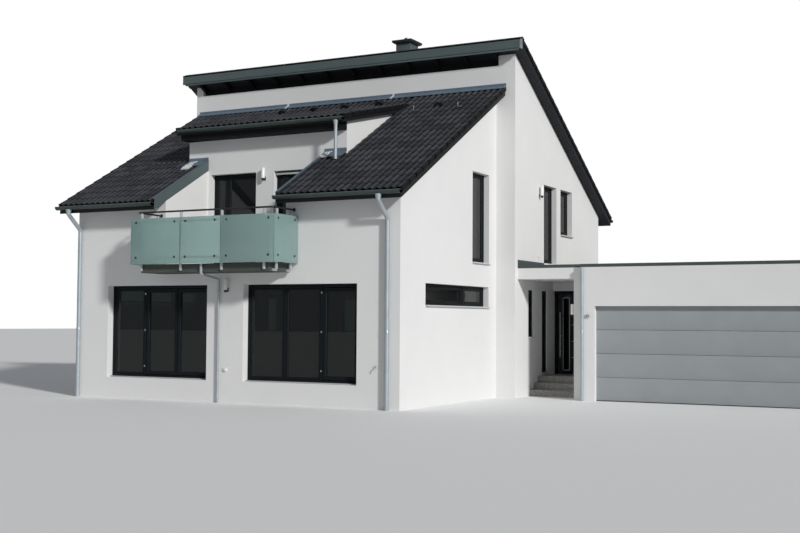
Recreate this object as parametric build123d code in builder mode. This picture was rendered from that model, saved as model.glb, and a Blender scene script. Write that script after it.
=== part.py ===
from build123d import *
import os
from math import cos, radians, tan

# Detached house: a front body under a low roof with a dormer and a balcony, a higher rear body
# whose roof falls to the back, and a flat-roofed porch and garage on its east side.
# Millimetres. X runs east, Y runs north to the back of the house, Z runs up from the driveway.
# The origin lies on the ground, midway across the front body, where it meets the rear body.

os.makedirs("parts", exist_ok=True)

# Plan of the two bodies
front_width = 9000
front_depth = 5130
rear_depth = 6500
east_step = 510
west_step = 390
outer_wall = 360
light_wall = 240

# Levels above the driveway
floor_level = 500
upper_floor_level = 3170
upper_floor_thickness = 200
ground_head = 2700
upper_head = 5510

# Main roofs
front_pitch = 29.1
rear_pitch = 28.75
front_roof_height = 4700
high_roof_rise = 800
front_roof_edge = 235
rear_roof_edge = 248
verge = 270
front_eave = 420
rear_eave = 440
high_eave = 320
fascia_drop = 120
fascia_height = 250
fascia_thickness = 30
ridge_lip = 130
eave_recess_height = 260
clerestory_depth = 350

# Timbers under the high eave
rafter_width = 80
rafter_drop = 130
rafter_count = 12
eave_recess = 110
eave_beam = 120
beam_west_margin = 230
beam_east_margin = 450

# Dormer, loggia and balcony share one centre line
bay_centre = -100
dormer_width = 4600
dormer_setback = 1640
dormer_pitch = 13.4
dormer_meeting = 620
dormer_eave = 370
dormer_verge = 150
dormer_roof_edge = 190
dormer_band = 216
dormer_soffit = 25
loggia_width = 3400
balcony_door_width = 1350
balcony_door_offset = 935
balcony_door_head = 5500
balcony_width = 3980
balcony_shift = 50
balcony_depth = 950
balcony_slab_inset = 220
balcony_front_inset = 135
balcony_slab = 190
balcony_step = 20

# Balcony railing
glass_height = 1050
rail_glass = 12
glass_joint = 12
post_width = 50
post_depth = 45
post_drop = 150
post_spacing = 1135
side_post_reach = 100
lug_height = 60
handrail_radius = 21
handrail_height = 1200
fixing_radius = 24
fixing_margin = 150
side_post_margin = 130

# Terrace openings in the front wall
terrace_width = 2980
terrace_west_start = 970
terrace_east_end = 1050
frame_width = 70
frame_depth = 80
frame_setback = 140
terrace_setback = 195
porch_window_setback = 30
leaf_gap = 12
leaf_meeting_gap = 16
leaf_rail = 85
leaf_floor_gap = 12
mullion = 60
pane = 24
hinge_radius = 9
hinge_length = 60
hinge_reach = 14
hinge_plate = (30, 10)
hinge_play = 0.2
hinge_margin = 180

# Windows of the gable walls
tall_window_width = 990
tall_window_margin = 440
tall_window_sill = 3320
strip_window = (1200, 4670)
strip_window_height = (2250, 2735)
strip_window_split = 0.655
roof_door = (2000, 2950)
roof_door_sill = 3440
rear_window = (3260, 4190)
rear_window_sill = 4270
porch_window = (905, 1220)
porch_window_sill = 1510
porch_light = (1855, 2225)
porch_light_sill = 580
sill_depth = 60
sill_height = 30

# Windows of the back wall, equally spaced
back_window_width = 1400
back_window_count = 3
back_window_height = 1250
back_upper_window_height = 850
back_window_below_eave = 250
back_sill = 1450

# Porch and garage
porch_width = 1470
porch_setback = 180
entrance_setback = 2670
hall_opening = (3400, 4600)
garage_setback = 70
garage_width = 6220
garage_corner = 195
annex_height = 2950
flat_roof = 270
trim_height = 80
trim_width = 60
garage_door_width = 5000
garage_door_height = 2280
garage_door_margin = 365
garage_door_setback = 130
garage_door_thickness = 42
garage_sections = 4
section_gap = 4
garage_floor = 60
garage_window_width = 1000
garage_window_sill = 1500
garage_window_head = 2150
garage_window_inset = 1720
entrance_width = 1200
entrance_head = 2720
entrance_light = (165, 325)
entrance_light_ends = (110, 110)
entrance_thickness = 70
step_going = 290
step_count = 3
landing_depth = 1100

# Chimney
chimney_size = (420, 500)
chimney_place = (1380, 1100)
chimney_rise = 840
chimney_cap = 80
chimney_cap_overhang = 85
chimney_hood = (170, 110)

# Zinc work
gutter_radius = 76
gutter_sheet = 4
gutter_rim_below_edge = 80
pipe_radius = 50
dormer_pipe_radius = 40
pipe_wall_gap = 30
pipe_bend = 120
pipe_offset_drop = 360
outlet_drop = 110
east_pipe_inset = 270
west_pipe_inset = 115
dormer_pipe_inset = 40
rear_pipe_inset = 300
garage_pipe_inset = 60
flashing = 12
clerestory_flashing = 80
apron_reach = 240
terrace_flashing = 135

# Lamps
lamp_radius = 55
lamp_length = 310
lamp_arm = 30
loggia_lamp_drop = 80
terrace_lamp = (130, 25)
roof_lamp = (350, 230)
porch_lamp = (140, 525)

front_y = -front_depth
east_x = front_width / 2
west_x = -front_width / 2
rear_east_x = east_x + east_step
rear_west_x = west_x - west_step
front_slope = tan(radians(front_pitch))
rear_slope = tan(radians(rear_pitch))
dormer_slope = tan(radians(dormer_pitch))
dormer_west_x = bay_centre - dormer_width / 2
dormer_east_x = bay_centre + dormer_width / 2
dormer_y = front_y + dormer_setback
dormer_eave_y = dormer_y - dormer_eave
loggia_west_x = bay_centre - loggia_width / 2
loggia_east_x = bay_centre + loggia_width / 2
flat_roof_top = annex_height + flat_roof
trim_top = flat_roof_top + trim_height
porch_east_x = rear_east_x + porch_width
garage_west_x = porch_east_x + garage_corner
garage_east_x = porch_east_x + garage_width
garage_front_y = garage_setback
garage_open_x = garage_west_x + garage_door_margin
ceiling_level = upper_floor_level - upper_floor_thickness
glass_floor = upper_floor_level - balcony_step


def front_underside(y):
    return front_roof_height + (y - front_y) * front_slope


def front_top(y):
    return front_underside(y) + front_roof_edge


def rear_underside(y):
    return front_top(0) + high_roof_rise - y * rear_slope


def dormer_top(y):
    # The dormer roof runs into the front slope at the meeting line
    return front_top(-dormer_meeting) + (y + dormer_meeting) * dormer_slope


def dormer_underside(y):
    return dormer_top(y) - dormer_roof_edge


def block(x, y, z, mode=Mode.ADD):
    # A box between the low and high ends given for each direction
    centre = ((x[0] + x[1]) / 2, (y[0] + y[1]) / 2, (z[0] + z[1]) / 2)
    with Locations(centre):
        Box(x[1] - x[0], y[1] - y[0], z[1] - z[0], mode=mode)


def cross_section(points, x, mode=Mode.ADD):
    # A closed outline in Y and Z, drawn out from x[0] to x[1]
    with BuildSketch(Plane.YZ.offset(x[0])) as outline:
        with BuildLine():
            Polyline(*points, close=True)
        make_face()
    extrude(outline.sketch, amount=x[1] - x[0], mode=mode)


def sloped_slab(underside, thickness, y, x, mode=Mode.ADD):
    points = [(y[0], underside(y[0])), (y[1], underside(y[1]))]
    points += [(y[1], underside(y[1]) + thickness), (y[0], underside(y[0]) + thickness)]
    cross_section(points, x, mode)


def gable(underside, y, x, bottom):
    cross_section([(y[0], bottom), (y[1], bottom), (y[1], underside(y[1])), (y[0], underside(y[0]))], x)


def leaf_of(span, height, y, rail):
    # A glazed door leaf or fixed frame in a wall that faces south or north
    block(span, y, height)
    block((span[0] + rail, span[1] - rail), y, (height[0] + rail, height[1] - rail), Mode.SUBTRACT)


def side_frame(span, height, x, posts=()):
    # A window frame in a wall that faces east or west, with posts between its panes
    block(x, span, height)
    ends = [span[0], *posts, span[1]]
    for low, high in zip(ends[:-1], ends[1:]):
        inner = (low + frame_width / 2, high - frame_width / 2)
        if low == span[0]:
            inner = (low + frame_width, inner[1])
        if high == span[1]:
            inner = (inner[0], high - frame_width)
        block(x, inner, (height[0] + frame_width, height[1] - frame_width), Mode.SUBTRACT)


def side_pane(span, height, x):
    middle = (x[0] + x[1]) / 2
    glass_x = (middle - pane / 2, middle + pane / 2)
    inner_y = (span[0] + frame_width, span[1] - frame_width)
    block(glass_x, inner_y, (height[0] + frame_width, height[1] - frame_width))


def front_pane(span, height, y, rail):
    middle = (y[0] + y[1]) / 2
    inner_z = (height[0] + rail, height[1] - rail)
    block((span[0] + rail, span[1] - rail), (middle - pane / 2, middle + pane / 2), inner_z)


def knuckles(axis_x, side, face_y, heights):
    # Hinge knuckles on the inner face of a leaf or frame, each with a plate that reaches to that side
    plate_x = sorted((axis_x, axis_x + side * hinge_plate[0]))
    for bottom in heights:
        with Locations((axis_x, face_y + hinge_reach, bottom + hinge_length / 2)):
            Cylinder(hinge_radius, hinge_length)
        block(plate_x, (face_y, face_y + hinge_plate[1]), (bottom, bottom + hinge_length))


def hinge_heights(height, lift=0):
    # Bottoms of three knuckles, evenly spaced up a leaf
    lowest = height[0] + hinge_margin + lift
    highest = height[1] - hinge_margin - 2 * hinge_length + lift
    return [lowest, (lowest + highest) / 2, highest]


def half_gutter(x, y, rim, back=False):
    # A half-round channel with closed ends; its rim touches the roof edge at y
    side = gutter_radius if back else -gutter_radius
    with BuildSketch(Plane.YZ.offset(x[0])) as channel:
        with Locations((y + side, rim)):
            Circle(gutter_radius)
            Circle(gutter_radius - gutter_sheet, mode=Mode.SUBTRACT)
        with Locations((y + side, rim + gutter_radius)):
            Rectangle(3 * gutter_radius, 2 * gutter_radius, mode=Mode.SUBTRACT)
    extrude(channel.sketch, amount=x[1] - x[0])
    for end in (x[0], x[1] - gutter_sheet):
        with BuildSketch(Plane.YZ.offset(end)) as cap:
            with Locations((y + side, rim)):
                Circle(gutter_radius)
            with Locations((y + side, rim + gutter_radius)):
                Rectangle(3 * gutter_radius, 2 * gutter_radius, mode=Mode.SUBTRACT)
        extrude(cap.sketch, amount=gutter_sheet)


def down_pipe(points, radius):
    # A round pipe along straight runs with bends of one radius
    with BuildLine() as route:
        if len(points) == 2:
            Line(*points)
        else:
            FilletPolyline(*points, radius=pipe_bend)
    with BuildSketch(Plane(route.line @ 0, z_dir=route.line % 0)) as bore:
        Circle(radius)
    sweep(bore.sketch, path=route.line)


# Walls of the front body. The south wall is split beside and over its openings.

terrace_west = (west_x + terrace_west_start, west_x + terrace_west_start + terrace_width)
terrace_east = (east_x - terrace_east_end - terrace_width, east_x - terrace_east_end)
south_wall_y = (front_y, front_y + outer_wall)

with BuildPart() as front_piers:
    for pier in ((west_x, terrace_west[0]), (terrace_west[1], terrace_east[0]), (terrace_east[1], east_x)):
        block(pier, south_wall_y, (floor_level, ground_head))
front_piers.part.label = "front_wall_piers"
export_step(front_piers.part, "parts/front_wall_piers.step")

with BuildPart() as front_lintel:
    block((west_x, east_x), south_wall_y, (ground_head, upper_floor_level))
front_lintel.part.label = "front_wall_lintel"
export_step(front_lintel.part, "parts/front_wall_lintel.step")

with BuildPart() as front_upper:
    gable(front_underside, south_wall_y, (west_x, loggia_west_x), upper_floor_level)
    gable(front_underside, south_wall_y, (loggia_east_x, east_x), upper_floor_level)
front_upper.part.label = "front_wall_upper"
export_step(front_upper.part, "parts/front_wall_upper.step")

# Window places in the side walls of both bodies, as spans along Y and heights
tall_y = (-tall_window_margin - tall_window_width, -tall_window_margin)
strip_y = (front_y + strip_window[0], front_y + strip_window[1])
front_side_windows = [(tall_y, (tall_window_sill, upper_head)), (strip_y, strip_window_height)]
roof_door_place = (roof_door, (roof_door_sill, upper_head))
rear_window_place = (rear_window, (rear_window_sill, upper_head))
porch_windows = [(porch_window, (porch_window_sill, ground_head))]
porch_windows += [(porch_light, (porch_light_sill, ground_head))]
west_ground_window = (rear_window, (back_sill, ground_head))
rear_east_windows = [roof_door_place, rear_window_place]
rear_west_windows = [rear_window_place, west_ground_window]
side_wall_y = (front_y + outer_wall, 0)

with BuildPart() as gable_walls:
    for wall_x in ((east_x - outer_wall, east_x), (west_x, west_x + outer_wall)):
        gable(front_underside, side_wall_y, wall_x, floor_level)
        for span, height in front_side_windows:
            block(wall_x, span, height, Mode.SUBTRACT)
gable_walls.part.label = "gable_walls"
export_step(gable_walls.part, "parts/gable_walls.step")

# Walls of the rear body, with the steps where it stands out past the front body

rear_inner_x = (rear_west_x + outer_wall, rear_east_x - outer_wall)
clerestory_bottom = front_top(0) - clerestory_depth
beam_x = (rear_west_x + beam_west_margin, rear_east_x - beam_east_margin)
clerestory_top = rear_underside(0) - eave_recess_height
beam_y = (eave_recess, eave_recess + eave_beam)

with BuildPart() as step_walls:
    block((east_x - outer_wall, rear_inner_x[1]), (0, outer_wall), (floor_level, clerestory_bottom))
    block((rear_inner_x[0], west_x + outer_wall), (0, outer_wall), (floor_level, clerestory_bottom))
step_walls.part.label = "step_walls"
export_step(step_walls.part, "parts/step_walls.step")

with BuildPart() as clerestory_wall:
    block(rear_inner_x, (0, outer_wall), (clerestory_bottom, clerestory_top))
    gable(rear_underside, (0, outer_wall), (beam_x[1], rear_inner_x[1]), clerestory_top)
clerestory_wall.part.label = "clerestory_wall"
export_step(clerestory_wall.part, "parts/clerestory_wall.step")

with BuildPart() as rear_east_piers:
    wall_x = (rear_inner_x[1], rear_east_x)
    block(wall_x, (0, hall_opening[0]), (floor_level, annex_height))
    block(wall_x, (hall_opening[1], rear_depth), (floor_level, annex_height))
    for span, height in porch_windows:
        block(wall_x, span, height, Mode.SUBTRACT)
rear_east_piers.part.label = "rear_east_piers"
export_step(rear_east_piers.part, "parts/rear_east_piers.step")

with BuildPart() as rear_east_wall:
    gable(rear_underside, (0, rear_depth), wall_x, annex_height)
    for span, height in (roof_door_place, rear_window_place):
        block(wall_x, span, height, Mode.SUBTRACT)
rear_east_wall.part.label = "rear_east_wall"
export_step(rear_east_wall.part, "parts/rear_east_wall.step")

with BuildPart() as rear_west_wall:
    wall_x = (rear_west_x, rear_inner_x[0])
    gable(rear_underside, (0, rear_depth), wall_x, floor_level)
    for span, height in rear_west_windows:
        block(wall_x, span, height, Mode.SUBTRACT)
    block((beam_x[0], wall_x[1]), (0, beam_y[1]), (clerestory_top, rear_underside(0)), Mode.SUBTRACT)
rear_west_wall.part.label = "rear_west_wall"
export_step(rear_west_wall.part, "parts/rear_west_wall.step")

back_wall_y = (rear_depth - outer_wall, rear_depth)
back_bay = (rear_inner_x[1] - rear_inner_x[0]) / back_window_count
back_upper_head = rear_underside(rear_depth) - back_window_below_eave
back_windows = []
for index in range(back_window_count):
    middle = rear_inner_x[0] + back_bay * (index + 0.5)
    span = (middle - back_window_width / 2, middle + back_window_width / 2)
    back_windows.append((span, (back_sill, back_sill + back_window_height)))
    back_windows.append((span, (back_upper_head - back_upper_window_height, back_upper_head)))

with BuildPart() as back_wall:
    gable(rear_underside, back_wall_y, rear_inner_x, floor_level)
    for span, height in back_windows:
        block(span, back_wall_y, height, Mode.SUBTRACT)
back_wall.part.label = "back_wall"
export_step(back_wall.part, "parts/back_wall.step")

# Plinth with the ground floor on it, and the upper floor

entrance_y = (entrance_setback, entrance_setback + outer_wall)
annex_back_y = (rear_depth - light_wall, rear_depth)

with BuildPart() as ground_floor:
    block((west_x, east_x), (front_y, 0), (0, floor_level))
    block((rear_west_x, rear_east_x), (0, rear_depth), (0, floor_level))
ground_floor.part.label = "ground_floor"
export_step(ground_floor.part, "parts/ground_floor.step")

with BuildPart() as upper_floor:
    floor_z = (ceiling_level, upper_floor_level)
    block((west_x + outer_wall, east_x - outer_wall), (south_wall_y[1], 0), floor_z)
    block((west_x + outer_wall, east_x - outer_wall), (0, outer_wall), floor_z)
    block(rear_inner_x, (outer_wall, back_wall_y[0]), floor_z)
upper_floor.part.label = "upper_floor"
export_step(upper_floor.part, "parts/upper_floor.step")

# Roofs of the front body, cut away for the dormer behind and the loggia in front

front_roof_y = (front_y - front_eave, 0)
loggia_roof_y = (front_roof_y[0], dormer_y)

with BuildPart() as front_roof_west:
    sloped_slab(front_underside, front_roof_edge, front_roof_y, (west_x - verge, dormer_west_x))
    sloped_slab(front_underside, front_roof_edge, loggia_roof_y, (dormer_west_x, loggia_west_x))
front_roof_west.part.label = "front_roof_west"
export_step(front_roof_west.part, "parts/front_roof_west.step")

with BuildPart() as front_roof_east:
    sloped_slab(front_underside, front_roof_edge, front_roof_y, (dormer_east_x, east_x + verge))
    sloped_slab(front_underside, front_roof_edge, loggia_roof_y, (loggia_east_x, dormer_east_x))
front_roof_east.part.label = "front_roof_east"
export_step(front_roof_east.part, "parts/front_roof_east.step")

# Loggia and dormer

dormer_wall_y = (dormer_y, dormer_y + light_wall)
dormer_wall_top = dormer_underside(dormer_y) - dormer_band
door_places = []
for side in (-1, 1):
    middle = bay_centre + side * balcony_door_offset
    door_places.append((middle - balcony_door_width / 2, middle + balcony_door_width / 2))
balcony_door_z = (upper_floor_level, balcony_door_head)

with BuildPart() as loggia_cheeks:
    cheek_y = (south_wall_y[1], dormer_y)
    gable(front_underside, cheek_y, (loggia_west_x - light_wall, loggia_west_x), upper_floor_level)
    gable(front_underside, cheek_y, (loggia_east_x, loggia_east_x + light_wall), upper_floor_level)
loggia_cheeks.part.label = "loggia_cheeks"
export_step(loggia_cheeks.part, "parts/loggia_cheeks.step")

with BuildPart() as dormer_wall:
    dormer_x = (dormer_west_x, dormer_east_x)
    block(dormer_x, dormer_wall_y, (upper_floor_level, dormer_wall_top))
    gable(dormer_underside, dormer_wall_y, dormer_x, dormer_wall_top)
    for span in door_places:
        block(span, dormer_wall_y, balcony_door_z, Mode.SUBTRACT)
dormer_wall.part.label = "dormer_wall"
export_step(dormer_wall.part, "parts/dormer_wall.step")

with BuildPart() as dormer_cheeks:
    cheek_front = dormer_wall_y[1]
    cheek_back = -dormer_meeting
    outline = [(cheek_front, front_underside(cheek_front)), (cheek_back, front_underside(cheek_back))]
    outline += [(cheek_back, dormer_underside(cheek_back)), (cheek_front, dormer_underside(cheek_front))]
    cross_section(outline, (dormer_west_x, dormer_west_x + light_wall))
    cross_section(outline, (dormer_east_x - light_wall, dormer_east_x))
dormer_cheeks.part.label = "dormer_cheeks"
export_step(dormer_cheeks.part, "parts/dormer_cheeks.step")

with BuildPart() as dormer_roof:
    roof_x = (dormer_west_x - dormer_verge, dormer_east_x + dormer_verge)
    sloped_slab(dormer_underside, dormer_roof_edge, (dormer_eave_y, -dormer_meeting), roof_x)
    sloped_slab(front_underside, front_roof_edge, (-dormer_meeting, 0), (dormer_west_x, dormer_east_x))
    for overhang in ((roof_x[0], dormer_west_x), (dormer_east_x, roof_x[1])):
        sloped_slab(front_underside, front_roof_edge, front_roof_y, overhang, Mode.SUBTRACT)
dormer_roof.part.label = "dormer_roof"
export_step(dormer_roof.part, "parts/dormer_roof.step")

with BuildPart() as dormer_eave_box:
    box_y = (dormer_eave_y + dormer_soffit, dormer_y)
    gable(dormer_underside, box_y, (dormer_west_x, dormer_east_x), dormer_wall_top)
dormer_eave_box.part.label = "dormer_eave_box"
export_step(dormer_eave_box.part, "parts/dormer_eave_box.step")

# Roof of the rear body, with the fascia and timbers of its high eave

rear_roof_x = (rear_west_x - verge, rear_east_x + verge)
fascia_y = (-high_eave, -high_eave + fascia_thickness)
ridge_y = fascia_y[1] + ridge_lip

with BuildPart() as rear_roof:
    sloped_slab(rear_underside, rear_roof_edge, (ridge_y, rear_depth + rear_eave), rear_roof_x)
    with Locations((*chimney_place, rear_underside(0))):
        Box(*chimney_size, 4 * rear_depth, mode=Mode.SUBTRACT)
rear_roof.part.label = "rear_roof"
export_step(rear_roof.part, "parts/rear_roof.step")

with BuildPart() as high_fascia:
    fascia_foot = rear_underside(fascia_y[0]) - fascia_drop
    block(rear_roof_x, fascia_y, (fascia_foot, fascia_foot + fascia_height))
    lip = [(fascia_y[1], rear_underside(fascia_y[1])), (ridge_y, rear_underside(ridge_y))]
    lip += [(ridge_y, rear_underside(ridge_y) + rear_roof_edge), (fascia_y[1], fascia_foot + fascia_height)]
    cross_section(lip, rear_roof_x)
high_fascia.part.label = "high_fascia"
export_step(high_fascia.part, "parts/high_fascia.step")

with BuildPart() as high_eave_timbers:
    gable(rear_underside, beam_y, beam_x, clerestory_top)
    bay = (beam_x[1] - beam_x[0] - rafter_width) / (rafter_count - 1)
    for index in range(rafter_count):
        start = beam_x[0] + index * bay
        tail_y = (fascia_y[1], beam_y[0])
        tail = [(y, rear_underside(y) - rafter_drop) for y in tail_y]
        tail += [(y, rear_underside(y)) for y in reversed(tail_y)]
        cross_section(tail, (start, start + rafter_width))
high_eave_timbers.part.label = "high_eave_timbers"
export_step(high_eave_timbers.part, "parts/high_eave_timbers.step")

# Chimney, standing on the upper floor

chimney_top = rear_underside(0) + chimney_rise

with BuildPart() as chimney:
    with Locations((*chimney_place, (upper_floor_level + chimney_top) / 2)):
        Box(*chimney_size, chimney_top - upper_floor_level)
    with Locations((*chimney_place, chimney_top + chimney_cap / 2)):
        Box(*[side + 2 * chimney_cap_overhang for side in chimney_size], chimney_cap)
    with Locations((*chimney_place, chimney_top + chimney_cap + chimney_hood[1] / 2)):
        Cylinder(chimney_hood[0] / 2, chimney_hood[1])
chimney.part.label = "chimney"
export_step(chimney.part, "parts/chimney.step")

# Zinc gutters, downpipes and flashings

front_rim = front_top(front_roof_y[0]) - gutter_rim_below_edge
dormer_rim = dormer_top(dormer_eave_y) - gutter_rim_below_edge
rear_rim = rear_underside(rear_depth + rear_eave) + rear_roof_edge - gutter_rim_below_edge

with BuildPart() as gutters:
    half_gutter((west_x - verge, loggia_west_x), front_roof_y[0], front_rim)
    half_gutter((loggia_east_x, east_x + verge), front_roof_y[0], front_rim)
    half_gutter((dormer_west_x, dormer_east_x + dormer_verge), dormer_eave_y, dormer_rim)
    half_gutter(rear_roof_x, rear_depth + rear_eave, rear_rim, back=True)
gutters.part.label = "gutters"
export_step(gutters.part, "parts/gutters.step")


def eave_pipe(x, gutter_y, wall_y, rim):
    # Down from a gutter, back to the wall and down to the ground
    start = rim - gutter_radius
    bend = start - outlet_drop
    return [(x, gutter_y, start), (x, gutter_y, bend), (x, wall_y, bend - pipe_offset_drop), (x, wall_y, 0)]


with BuildPart() as downpipes:
    front_gutter_y = front_roof_y[0] - gutter_radius
    front_pipe_y = front_y - pipe_wall_gap - pipe_radius
    down_pipe(eave_pipe(east_x - east_pipe_inset, front_gutter_y, front_pipe_y, front_rim), pipe_radius)
    down_pipe(eave_pipe(west_x + west_pipe_inset, front_gutter_y, front_pipe_y, front_rim), pipe_radius)
    rear_gutter_y = rear_depth + rear_eave + gutter_radius
    rear_pipe_y = rear_depth + pipe_wall_gap + pipe_radius
    down_pipe(eave_pipe(rear_west_x + rear_pipe_inset, rear_gutter_y, rear_pipe_y, rear_rim), pipe_radius)
    dormer_pipe_x = dormer_east_x - dormer_pipe_inset
    dormer_gutter_y = dormer_eave_y - gutter_radius
    pipe_foot = front_top(dormer_gutter_y + dormer_pipe_radius)
    down_pipe([(dormer_pipe_x, dormer_gutter_y, dormer_rim - gutter_radius),
               (dormer_pipe_x, dormer_gutter_y, pipe_foot)], dormer_pipe_radius)
    garage_pipe_x = garage_west_x + garage_pipe_inset
    garage_pipe_y = garage_front_y - dormer_pipe_radius
    down_pipe([(garage_pipe_x, garage_pipe_y, flat_roof_top),
               (garage_pipe_x, garage_pipe_y, 0)], dormer_pipe_radius)
downpipes.part.label = "downpipes"
export_step(downpipes.part, "parts/downpipes.step")

with BuildPart() as flashings:
    block((west_x - verge, east_x + verge), (-flashing, 0), (front_top(0), front_top(0) + clerestory_flashing))
    for strip in ((dormer_west_x, loggia_west_x), (loggia_east_x, dormer_east_x)):
        sloped_slab(front_top, flashing, (dormer_y - apron_reach, dormer_y), strip)
    block((rear_east_x, rear_east_x + flashing), (porch_setback, roof_door[0]),
          (trim_top, trim_top + terrace_flashing))
flashings.part.label = "flashings"
export_step(flashings.part, "parts/flashings.step")

# Balcony slab, its railing of posts and handrail, and its glass panels

slab_z = (glass_floor - balcony_slab, glass_floor)
balcony_centre = bay_centre + balcony_shift
balcony_x = (balcony_centre - balcony_width / 2, balcony_centre + balcony_width / 2)
slab_x = (balcony_x[0] + balcony_slab_inset, balcony_x[1] - balcony_slab_inset)
slab_front = front_y - balcony_depth + balcony_front_inset
glass_front = front_y - balcony_depth
glass_z = (glass_floor, glass_floor + glass_height)
post_z = (slab_z[1] - post_drop, glass_floor + handrail_height - handrail_radius)
rail_z = glass_floor + handrail_height
post_y = slab_front - post_depth / 2
side_post_x = (slab_x[0] - side_post_reach, slab_x[1] + side_post_reach)
front_posts = [bay_centre + (index - 1.5) * post_spacing for index in range(4)]
side_posts = [slab_front + side_post_margin, front_y - side_post_margin]
fixing_heights = (glass_z[0] + fixing_margin, glass_z[1] - fixing_margin)

with BuildPart() as balcony_slab_part:
    block(slab_x, (slab_front, front_y), slab_z)
balcony_slab_part.part.label = "balcony_slab"
export_step(balcony_slab_part.part, "parts/balcony_slab.step")

with BuildPart() as balcony_posts:
    for x in front_posts:
        block((x - post_width / 2, x + post_width / 2), (slab_front - post_depth, slab_front), post_z)
    for x in side_post_x:
        for y in side_posts:
            block((x - post_depth / 2, x + post_depth / 2), (y - post_width / 2, y + post_width / 2), post_z)
    for height in fixing_heights:
        for x in front_posts:
            with BuildSketch(Plane((x, slab_front - post_depth / 2, height), z_dir=(0, -1, 0))) as pin:
                Circle(fixing_radius)
            extrude(pin.sketch, amount=slab_front - post_depth / 2 - glass_front - rail_glass)
        for side, x in zip((-1, 1), side_post_x):
            for y in side_posts:
                with BuildSketch(Plane((x, y, height), z_dir=(side, 0, 0))) as pin:
                    Circle(fixing_radius)
                extrude(pin.sketch, amount=balcony_slab_inset - side_post_reach - rail_glass)
    for slab_end, x in zip(slab_x, side_post_x):
        for y in side_posts:
            lug_x = sorted((slab_end, x))
            block(lug_x, (y - post_width / 2, y + post_width / 2), (slab_z[0], slab_z[0] + lug_height))
balcony_posts.part.label = "balcony_posts"
export_step(balcony_posts.part, "parts/balcony_posts.step")

with BuildPart() as front_handrail:
    with BuildSketch(Plane((side_post_x[0] - handrail_radius, post_y, rail_z), z_dir=(1, 0, 0))) as rail_bore:
        Circle(handrail_radius)
    extrude(rail_bore.sketch, amount=side_post_x[1] - side_post_x[0] + 2 * handrail_radius)
front_handrail.part.label = "front_handrail"
export_step(front_handrail.part, "parts/front_handrail.step")

with BuildPart() as side_handrails:
    for x in side_post_x:
        with BuildSketch(Plane((x, front_y, rail_z), z_dir=(0, -1, 0))) as rail_bore:
            Circle(handrail_radius)
        extrude(rail_bore.sketch, amount=front_y - post_y - handrail_radius)
side_handrails.part.label = "side_handrails"
export_step(side_handrails.part, "parts/side_handrails.step")

with BuildPart() as balcony_glass:
    glass_end = rail_glass + glass_joint
    joints = [balcony_x[0] + glass_end, *front_posts[1:3], balcony_x[1] - glass_end]
    for low, high in zip(joints[:-1], joints[1:]):
        start = low if low == joints[0] else low + glass_joint / 2
        end = high if high == joints[-1] else high - glass_joint / 2
        block((start, end), (glass_front, glass_front + rail_glass), glass_z)
    side_glass_y = (glass_front, front_y - glass_joint)
    block((balcony_x[0], balcony_x[0] + rail_glass), side_glass_y, glass_z)
    block((balcony_x[1] - rail_glass, balcony_x[1]), side_glass_y, glass_z)
balcony_glass.part.label = "balcony_glass"
export_step(balcony_glass.part, "parts/balcony_glass.step")

# Terrace doors. The west opening has a fixed light and a pair of leaves, the east one
# two fixed lights and one leaf. The leaves open into the room.

frame_y = (front_y + terrace_setback, front_y + terrace_setback + frame_depth)
terrace_z = (floor_level, ground_head)
leaf_z = (floor_level + frame_width + leaf_gap, ground_head - frame_width - leaf_gap)
light_width = (terrace_width - 2 * frame_width - 2 * mullion) / 3


def terrace_lights(opening):
    # The three clear spans between the frame's sides and posts
    first = opening[0] + frame_width
    return [(first + index * (light_width + mullion), first + index * (light_width + mullion) + light_width)
            for index in range(3)]


west_lights = terrace_lights(terrace_west)
east_lights = terrace_lights(terrace_east)
pair_span = (west_lights[1][0], west_lights[2][1])
pair_middle = (pair_span[0] + pair_span[1]) / 2
clear_z = (terrace_z[0] + frame_width, terrace_z[1] - frame_width)

# Each leaf: its name, its span, and the side of the hinge axis that it lies on
leaves = [
    ("west_door_left", (pair_span[0] + leaf_gap, pair_middle - leaf_meeting_gap / 2), 1),
    ("west_door_right", (pair_middle + leaf_meeting_gap / 2, pair_span[1] - leaf_gap), -1),
    ("east_door", (east_lights[2][0] + leaf_gap, east_lights[2][1] - leaf_gap), 1),
]
leaf_lift = hinge_length + hinge_play


def hinge_axis(span, side):
    return span[0] - leaf_gap / 2 if side > 0 else span[1] + leaf_gap / 2


for name, span, side in leaves:
    with BuildPart() as door_leaf:
        leaf_of(span, leaf_z, frame_y, leaf_rail)
        knuckles(hinge_axis(span, side), side, frame_y[1], hinge_heights(leaf_z, leaf_lift))
    door_leaf.part.label = name + "_leaf"
    export_step(door_leaf.part, "parts/" + name + "_leaf.step")
    with BuildPart() as door_glass:
        front_pane(span, leaf_z, frame_y, leaf_rail)
    door_glass.part.label = name + "_glass"
    export_step(door_glass.part, "parts/" + name + "_glass.step")

# Window frames, panes and sills of all the windows that stay shut

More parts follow.
